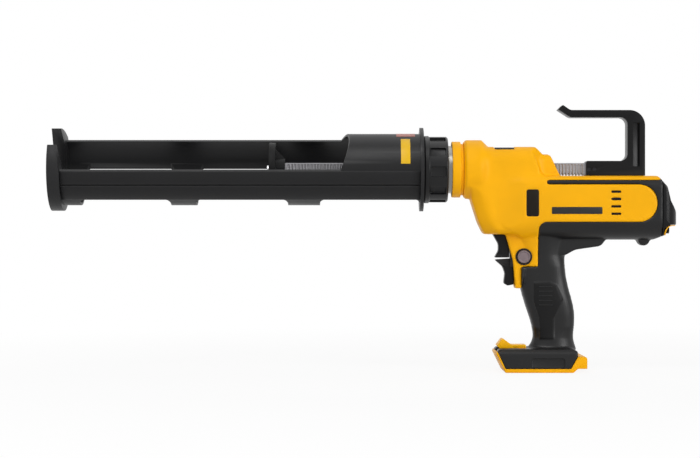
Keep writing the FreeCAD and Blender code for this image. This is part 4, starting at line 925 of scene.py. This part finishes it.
# Side pads and top insert: smooth dark mouldings with a fine grain. They are pressed into shallow seats of the casing,
# a pad on each side of the head and the insert on its top.
pad_skin = moulded_plastic("pad_skin", (0.0115, 0.0085, 0.0055), 0.42, 0.0007, 0.12)
pad_corner = 0.0024
pad_edge = 0.0004
insert_edge = 0.0003
for side_name, side in sides:
    pad_low, pad_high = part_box(f"side_pad_{side_name}")
    pad = rounded_slab(f"side_pad_moulding_{side_name}", pad_low, pad_high, "Y", pad_corner, pad_edge)
    pad.data.materials.append(pad_skin)
    stand_in(pad, "tool", "dark_trim", f"side_pad_{side_name}")
insert = eased_copy("top_insert_moulding", "top_insert", pad_skin, insert_edge)
stand_in(insert, "tool", "dark_trim", "top_insert")

# Casing screws: steel screws with a black oxide finish that hold the halves together. They are driven from the right
# side, and their heads sit in wells there.
screw_edge = 0.0004
screws = eased_copy("casing_screw_set", "housing_screws", black_oxide, screw_edge)
stand_in(screws, "tool", "bright_steel", "housing_screws")


# Nose: a turned aluminium sleeve that the carriage turns on, and a yellow nylon ring round its root. The sleeve's
# flange is held inside the casing.
turned_aluminium = machined_metal("turned_aluminium", (0.26, 0.25, 0.23), 0.28, (2200, 60, 60))
flange_front = -0.0620
flange_inner = 0.0245
flange_shrink = 0.93
sleeve_edge = 0.0004
ring_edge = 0.0013
axis_height = 0.2213
sleeve = merged_copy("nose_sleeve_turning", "nose_sleeve", turned_aluminium)
pick_points(
    sleeve,
    lambda spot: spot.x > flange_front and math.hypot(spot.y, spot.z - axis_height) > flange_inner,
)
bpy.ops.transform.resize(
    value=(1, flange_shrink, flange_shrink),
    center_override=(flange_front, 0, axis_height),
)
bpy.ops.object.mode_set(mode="OBJECT")
ease_edges(sleeve, sleeve_edge)
stand_in(sleeve, "tool", "machined_aluminium", "nose_sleeve")
ring = eased_copy("nose_ring_moulding", "nose_ring", yellow_nylon, ring_edge, 3)
stand_in(ring, "tool", "yellow_plastic", "nose_ring")


# Carriage: one black glass-filled moulding, a trough with open windows for the cartridge, a tube and a flange. It
# turns about the rod's axis on the nose sleeve.
carriage_black = moulded_plastic("carriage_black", (0.0105, 0.0105, 0.0112), 0.4, 0.0006, 0.2, 0.08)
carriage_edge = 0.0007
carriage = eased_copy("carriage_moulding", "carriage", carriage_black, carriage_edge)
stand_in(carriage, "carriage", "black_plastic", "carriage")


# Carriage rails: long raised bands moulded on both walls of the carriage. A narrow groove runs between the upper and
# the lower one, and the upper one's edge goes on along the tube as a ridge.
def wrapped_sheet(name, front, rear, radius, start, turn, thickness):
    """A thin sheet bent round the carriage's axis, from the left side's level upwards by the two angles in degrees."""
    bpy.ops.object.select_all(action="DESELECT")
    bpy.ops.mesh.primitive_plane_add(
        size=1,
        location=((front + rear) / 2, -radius, axis_height + thickness / 2),
        rotation=(math.pi / 2, 0, 0),
    )
    sheet = bpy.context.object
    sheet.name = name
    sheet.scale = (rear - front, thickness, 1)
    bpy.ops.object.transform_apply(location=True, rotation=True, scale=True)
    pick_points(sheet, lambda spot: spot.z > axis_height + thickness / 2)
    bpy.ops.mesh.delete(type="VERT")
    bpy.ops.mesh.select_all(action="SELECT")
    bpy.ops.transform.rotate(value=math.radians(start), orient_axis="X", center_override=carriage_axis)
    steps = math.ceil(turn / 3)
    bpy.ops.mesh.spin(steps=steps, angle=math.radians(turn), center=carriage_axis, axis=(1, 0, 0))
    bpy.ops.object.mode_set(mode="OBJECT")
    close_normals(sheet, 30)
    thick = sheet.modifiers.new("thick", "SOLIDIFY")
    thick.thickness = thickness
    thick.offset = 0.0
    bevel_sharp(sheet, thickness * 0.45, 3, 40)
    close_normals(sheet, 30)
    return sheet


carriage_axis = (0, 0, axis_height)
carriage_turn = 30.8
wall_radius = 0.0392
rail_front = -0.5225
rail_rear = -0.1322
rail_thickness = 0.0016
rail_spans = {"upper": (4.9, 27.0), "lower": (-27.0, 3.1)}
for rail_name, (rail_low, rail_high) in rail_spans.items():
    for side_name, rail_start in (("left", rail_low), ("right", 180 - rail_high)):
        rail = wrapped_sheet(
            f"carriage_rail_{rail_name}_{side_name}",
            rail_front,
            rail_rear,
            wall_radius,
            rail_start - carriage_turn,
            rail_high - rail_low,
            rail_thickness,
        )
        add_on(rail, "carriage", carriage_black)

# Tube labels: two thin bare films stuck round the carriage's tube, a yellow one on its upper left side and a pale red
# one over its top.
label_yellow = moulded_plastic("label_yellow", (0.78, 0.46, 0.012), 0.34, 0.0012, 0.25)
label_red = moulded_plastic("label_red", (0.42, 0.16, 0.13), 0.4, 0.0012, 0.25)
label_thickness = 0.0004
for label_name, label_film, label_slot, label_front, label_rear, label_low, label_turn in (
    ("tube_label", label_yellow, "yellow_plastic", -0.1534, -0.1433, 7.7, 48.5),
    ("tube_label_top", label_red, "dark_trim", -0.1580, -0.1375, 65.0, 50.0),
):
    label = wrapped_sheet(label_name, label_front, label_rear, wall_radius, label_low, label_turn, label_thickness)
    add_on(label, "carriage", label_film)


# Collar nut: a black moulding that clamps the carriage on the sleeve, turned with a rim in front and ten blind
# finger pockets sunk into its skirt.
# The collar's strong edge lightening is a painted highlight that makes its pocket and rim edges catch light.
collar_black = moulded_plastic("collar_black", (0.0075, 0.0075, 0.008), 0.32, 0.0006, 0.24, 0.1)
collar_low, collar_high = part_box("collar_nut")
collar_rim_radius = 0.0370
collar_radius = 0.0360
collar_neck = 0.0240
collar_chamber = 0.0272
collar_lip = 0.0042
collar_rim = 0.0055
collar_step = 0.0006
collar_round = 0.0014
collar_edge = 0.0005
collar_facets = 120
collar_start = 0.001
collar_profile = (
    (collar_low[0], collar_neck),
    (collar_low[0], collar_rim_radius - collar_round),
    (collar_low[0] + collar_round, collar_rim_radius),
    (collar_low[0] + collar_rim, collar_rim_radius),
    (collar_low[0] + collar_rim + collar_step, collar_radius),
    (collar_high[0] - collar_round, collar_radius),
    (collar_high[0], collar_radius - collar_round),
    (collar_high[0], collar_chamber),
    (collar_low[0] + collar_lip, collar_chamber),
    (collar_low[0] + collar_lip, collar_neck),
    (collar_low[0], collar_neck),
)
bpy.ops.object.select_all(action="DESELECT")
bpy.ops.mesh.primitive_plane_add(size=collar_start, location=(collar_low[0], 0, axis_height + collar_neck))
collar = bpy.context.object
collar.name = "collar_moulding"
bpy.ops.object.transform_apply(location=True, rotation=True, scale=True)
bpy.ops.object.mode_set(mode="EDIT")
bpy.ops.mesh.select_all(action="SELECT")
bpy.ops.mesh.merge(type="CENTER")
extrude_along(collar_profile)
bpy.ops.mesh.select_all(action="SELECT")
bpy.ops.mesh.spin(steps=collar_facets, angle=math.tau, center=carriage_axis, axis=(1, 0, 0))
bpy.ops.object.mode_set(mode="OBJECT")
close_normals(collar, 30)
pocket_count = 10
pocket_first = 102.5
pocket_half_width = 0.0056
pocket_depth = 0.0040
pocket_front = collar_low[0] + collar_rim + 0.00104
pocket_rear = collar_high[0] - 0.0026
pocket_outside = 0.005
pocket_corner = 0.0016
pocket_edge = 0.0010
for pocket_number in range(pocket_count):
    cutter = rounded_slab(
        "pocket_cutter",
        (pocket_front, -collar_radius - pocket_outside, axis_height - pocket_half_width),
        (pocket_rear, -collar_radius + pocket_depth, axis_height + pocket_half_width),
        "Y",
        pocket_corner,
        pocket_edge,
    )
    bpy.ops.object.mode_set(mode="EDIT")
    bpy.ops.mesh.select_all(action="SELECT")
    pocket_angle = pocket_first - pocket_number * 360 / pocket_count
    bpy.ops.transform.rotate(value=math.radians(pocket_angle), orient_axis="X", center_override=carriage_axis)
    bpy.ops.object.mode_set(mode="OBJECT")
    carve(collar, cutter)
ease_edges(collar, collar_edge, 2, 30)
collar.data.materials.append(collar_black)
stand_in(collar, "collar", "black_plastic", "collar_nut")


# Trigger halves: two black finger pieces, one above the other, with a thin slit between them. Both are clipped to
# one carrier and move together. Their rear edges are relieved to clear the casing when they are pulled.
trigger_black = moulded_plastic("trigger_black", (0.006, 0.006, 0.0066), 0.3, 0.0006, 0.14, 0.05)
trigger_relief = 0.0012
trigger_edge = 0.0011
for half_name in ("upper", "lower"):
    finger_piece = merged_copy(f"trigger_{half_name}_moulding", f"trigger_{half_name}", trigger_black)
    trigger_low, trigger_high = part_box(f"trigger_{half_name}")
    pick_points(finger_piece, lambda spot: spot.x > trigger_high[0] - trigger_relief / 4)
    bpy.ops.transform.translate(value=(-trigger_relief, 0, 0))
    bpy.ops.object.mode_set(mode="OBJECT")
    if half_name == "lower":
        pick_points(
            finger_piece,
            lambda spot: spot.x > trigger_high[0] - trigger_relief * 2 and spot.z < trigger_low[2] + trigger_relief,
        )
        bpy.ops.transform.translate(value=(0, 0, trigger_relief))
        bpy.ops.object.mode_set(mode="OBJECT")
    ease_edges(finger_piece, trigger_edge, 3)
    stand_in(finger_piece, "trigger", "black_plastic", f"trigger_{half_name}")

# Lock button: a cross bolt with dished ends and a thin waist that clears the trigger, in a dark bezel on each side
# of the handle. Its pale lavender grey is a painted reflection on what is a glossy black button.
# The pale lavender grey stands for the lamps' reflection on glossy black ends, as a painted reflection.
button_reflection_grey = moulded_plastic("button_reflection_grey", (0.2, 0.155, 0.165), 0.46, 0.0007, 0.25)
bezel_black = moulded_plastic("bezel_black", (0.0085, 0.006, 0.005), 0.4, 0.0006, 0.25)
button_radius = 0.00692
button_half_length = 0.016
button_x = -0.0185
button_z = 0.1257
button_waist = 0.0040
button_neck = 0.0105
button_step = 0.0004
button_dish = 0.0009
button_rims = (0.0004, 0.0009, 0.0006)
button_crown = 0.0020
button_edge = 0.0003
bezel_edge = 0.0004
bpy.ops.object.select_all(action="DESELECT")
bpy.ops.mesh.primitive_cylinder_add(
    vertices=64,
    radius=button_radius,
    depth=button_half_length * 2,
    location=(button_x, 0, button_z),
    rotation=(math.pi / 2, 0, 0),
)
bpy.ops.object.transform_apply(location=True, rotation=True, scale=True)
button = bpy.context.object
button.name = "lock_button_bolt"
slice_across(button, (0, 1, 0), (-button_neck - button_step, -button_neck, button_neck, button_neck + button_step))
pick_points(button, lambda spot: abs(spot.y) < button_neck + button_step / 2)
bpy.ops.transform.resize(
    value=(button_waist / button_radius, 1, button_waist / button_radius),
    center_override=(button_x, 0, button_z),
)
bpy.ops.object.mode_set(mode="OBJECT")
for end in (-1, 1):
    pick_faces(button, lambda middle, normal: end * middle.y > button_half_length - button_step)
    for button_rim in button_rims:
        bpy.ops.mesh.inset(thickness=button_rim)
    bpy.ops.transform.translate(value=(0, -end * button_dish, 0))
    bpy.ops.mesh.inset(thickness=button_crown)
    bpy.ops.transform.translate(value=(0, end * button_dish * 0.35, 0))
    bpy.ops.object.mode_set(mode="OBJECT")
bevel_sharp(button, button_edge, 2, 40)
close_normals(button, 35)
button.data.materials.append(button_reflection_grey)
stand_in(button, "lock", "grey_plastic", "lock_button")
bezels = eased_copy("lock_bezel_pair", "lock_bezels", bezel_black, bezel_edge)
stand_in(bezels, "tool", "dark_trim", "lock_bezels")


# Foot tray: a yellow nylon plate fixed under the foot, with a lip up its front and a block behind it. The tool stands
# on its flat underside.
tray_edge = 0.0008
tray = eased_copy("foot_tray_moulding", "foot_tray", yellow_nylon, tray_edge, 3)
stand_in(tray, "tool", "yellow_plastic", "foot_tray")

# Latch tab: a yellow moulded thumb lever that tips on a cross pin, painted brighter than the casing's yellow as
# painted light against the shade under the foot. It has a raised nose, and a flat that is hollowed on both sides.
# This yellow is lighter than the casing's: painted light that offsets the shade the latch stands in.
latch_lit_yellow = moulded_plastic("latch_lit_yellow", (1.0, 0.5, 0.003), 0.4, 0.0006, 0.2)
latch_low, latch_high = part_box("latch_tab")
latch_hollow_low = (-0.0300, 0.0252)
latch_hollow_high = (-0.0172, 0.0274)
latch_hollow_depth = 0.0012
latch_hollow_corner = 0.0006
latch_hollow_edge = 0.0002
latch_edge = 0.0004
latch = merged_copy("latch_moulding", "latch_tab", latch_lit_yellow)
for latch_side in (latch_low[1], latch_high[1]):
    carve(
        latch,
        rounded_slab(
            "latch_hollow_cutter",
            (latch_hollow_low[0], latch_side - latch_hollow_depth, latch_hollow_low[1]),
            (latch_hollow_high[0], latch_side + latch_hollow_depth, latch_hollow_high[1]),
            "Y",
            latch_hollow_corner,
            latch_hollow_edge,
        ),
    )
ease_edges(latch, latch_edge)
stand_in(latch, "latch", "yellow_plastic", "latch_tab")


# Speed dial: a small black knob in the scoop under the rear cap, moulded with a knurled band and a pointer groove.
# It turns on the switch's shaft.
dial_radius = 0.0042
dial_front = 0.1280
dial_rear = 0.1420
dial_edge = 0.00012
knurl_count = 48
knurl_front = 0.1345
knurl_rear = 0.1408
knurl_depth = 0.0004
knurl_margin = 0.00008
crown_margin = 0.0005
pointer_half_width = 0.0005
pointer_depth = 0.0006
bpy.ops.object.select_all(action="DESELECT")
bpy.ops.mesh.primitive_cylinder_add(
    vertices=knurl_count,
    radius=dial_radius,
    depth=dial_rear - dial_front,
    location=((dial_front + dial_rear) / 2, 0, dial_height),
    rotation=(0, math.pi / 2, 0),
)
bpy.ops.object.transform_apply(location=True, rotation=True, scale=True)
dial = bpy.context.object
dial.name = "speed_dial_knob"
slice_across(dial, (1, 0, 0), (knurl_front, knurl_rear))
pick_faces(
    dial,
    lambda middle, normal: knurl_front < middle.x < knurl_rear
    and int(math.atan2(middle.z - dial_height, middle.y) / math.tau * knurl_count + knurl_count) % 2,
)
bpy.ops.mesh.inset(thickness=knurl_margin, use_individual=True)
bpy.ops.transform.shrink_fatten(value=-knurl_depth)
pick_faces(dial, lambda middle, normal: normal.x > 0.9)
bpy.ops.mesh.inset(thickness=crown_margin)
bpy.ops.transform.translate(value=(-knurl_depth / 2, 0, 0))
bpy.ops.object.mode_set(mode="OBJECT")
carve(
    dial,
    new_block(
        "pointer_cutter",
        (dial_rear - knurl_depth / 2 - pointer_depth, -pointer_half_width, dial_height),
        (dial_rear + cutter_margin / 2, pointer_half_width, dial_height + dial_radius * 2),
    ),
)
ease_edges(dial, dial_edge)
dial.data.materials.append(trigger_black)
stand_in(dial, "dial", "black_plastic", "speed_dial")
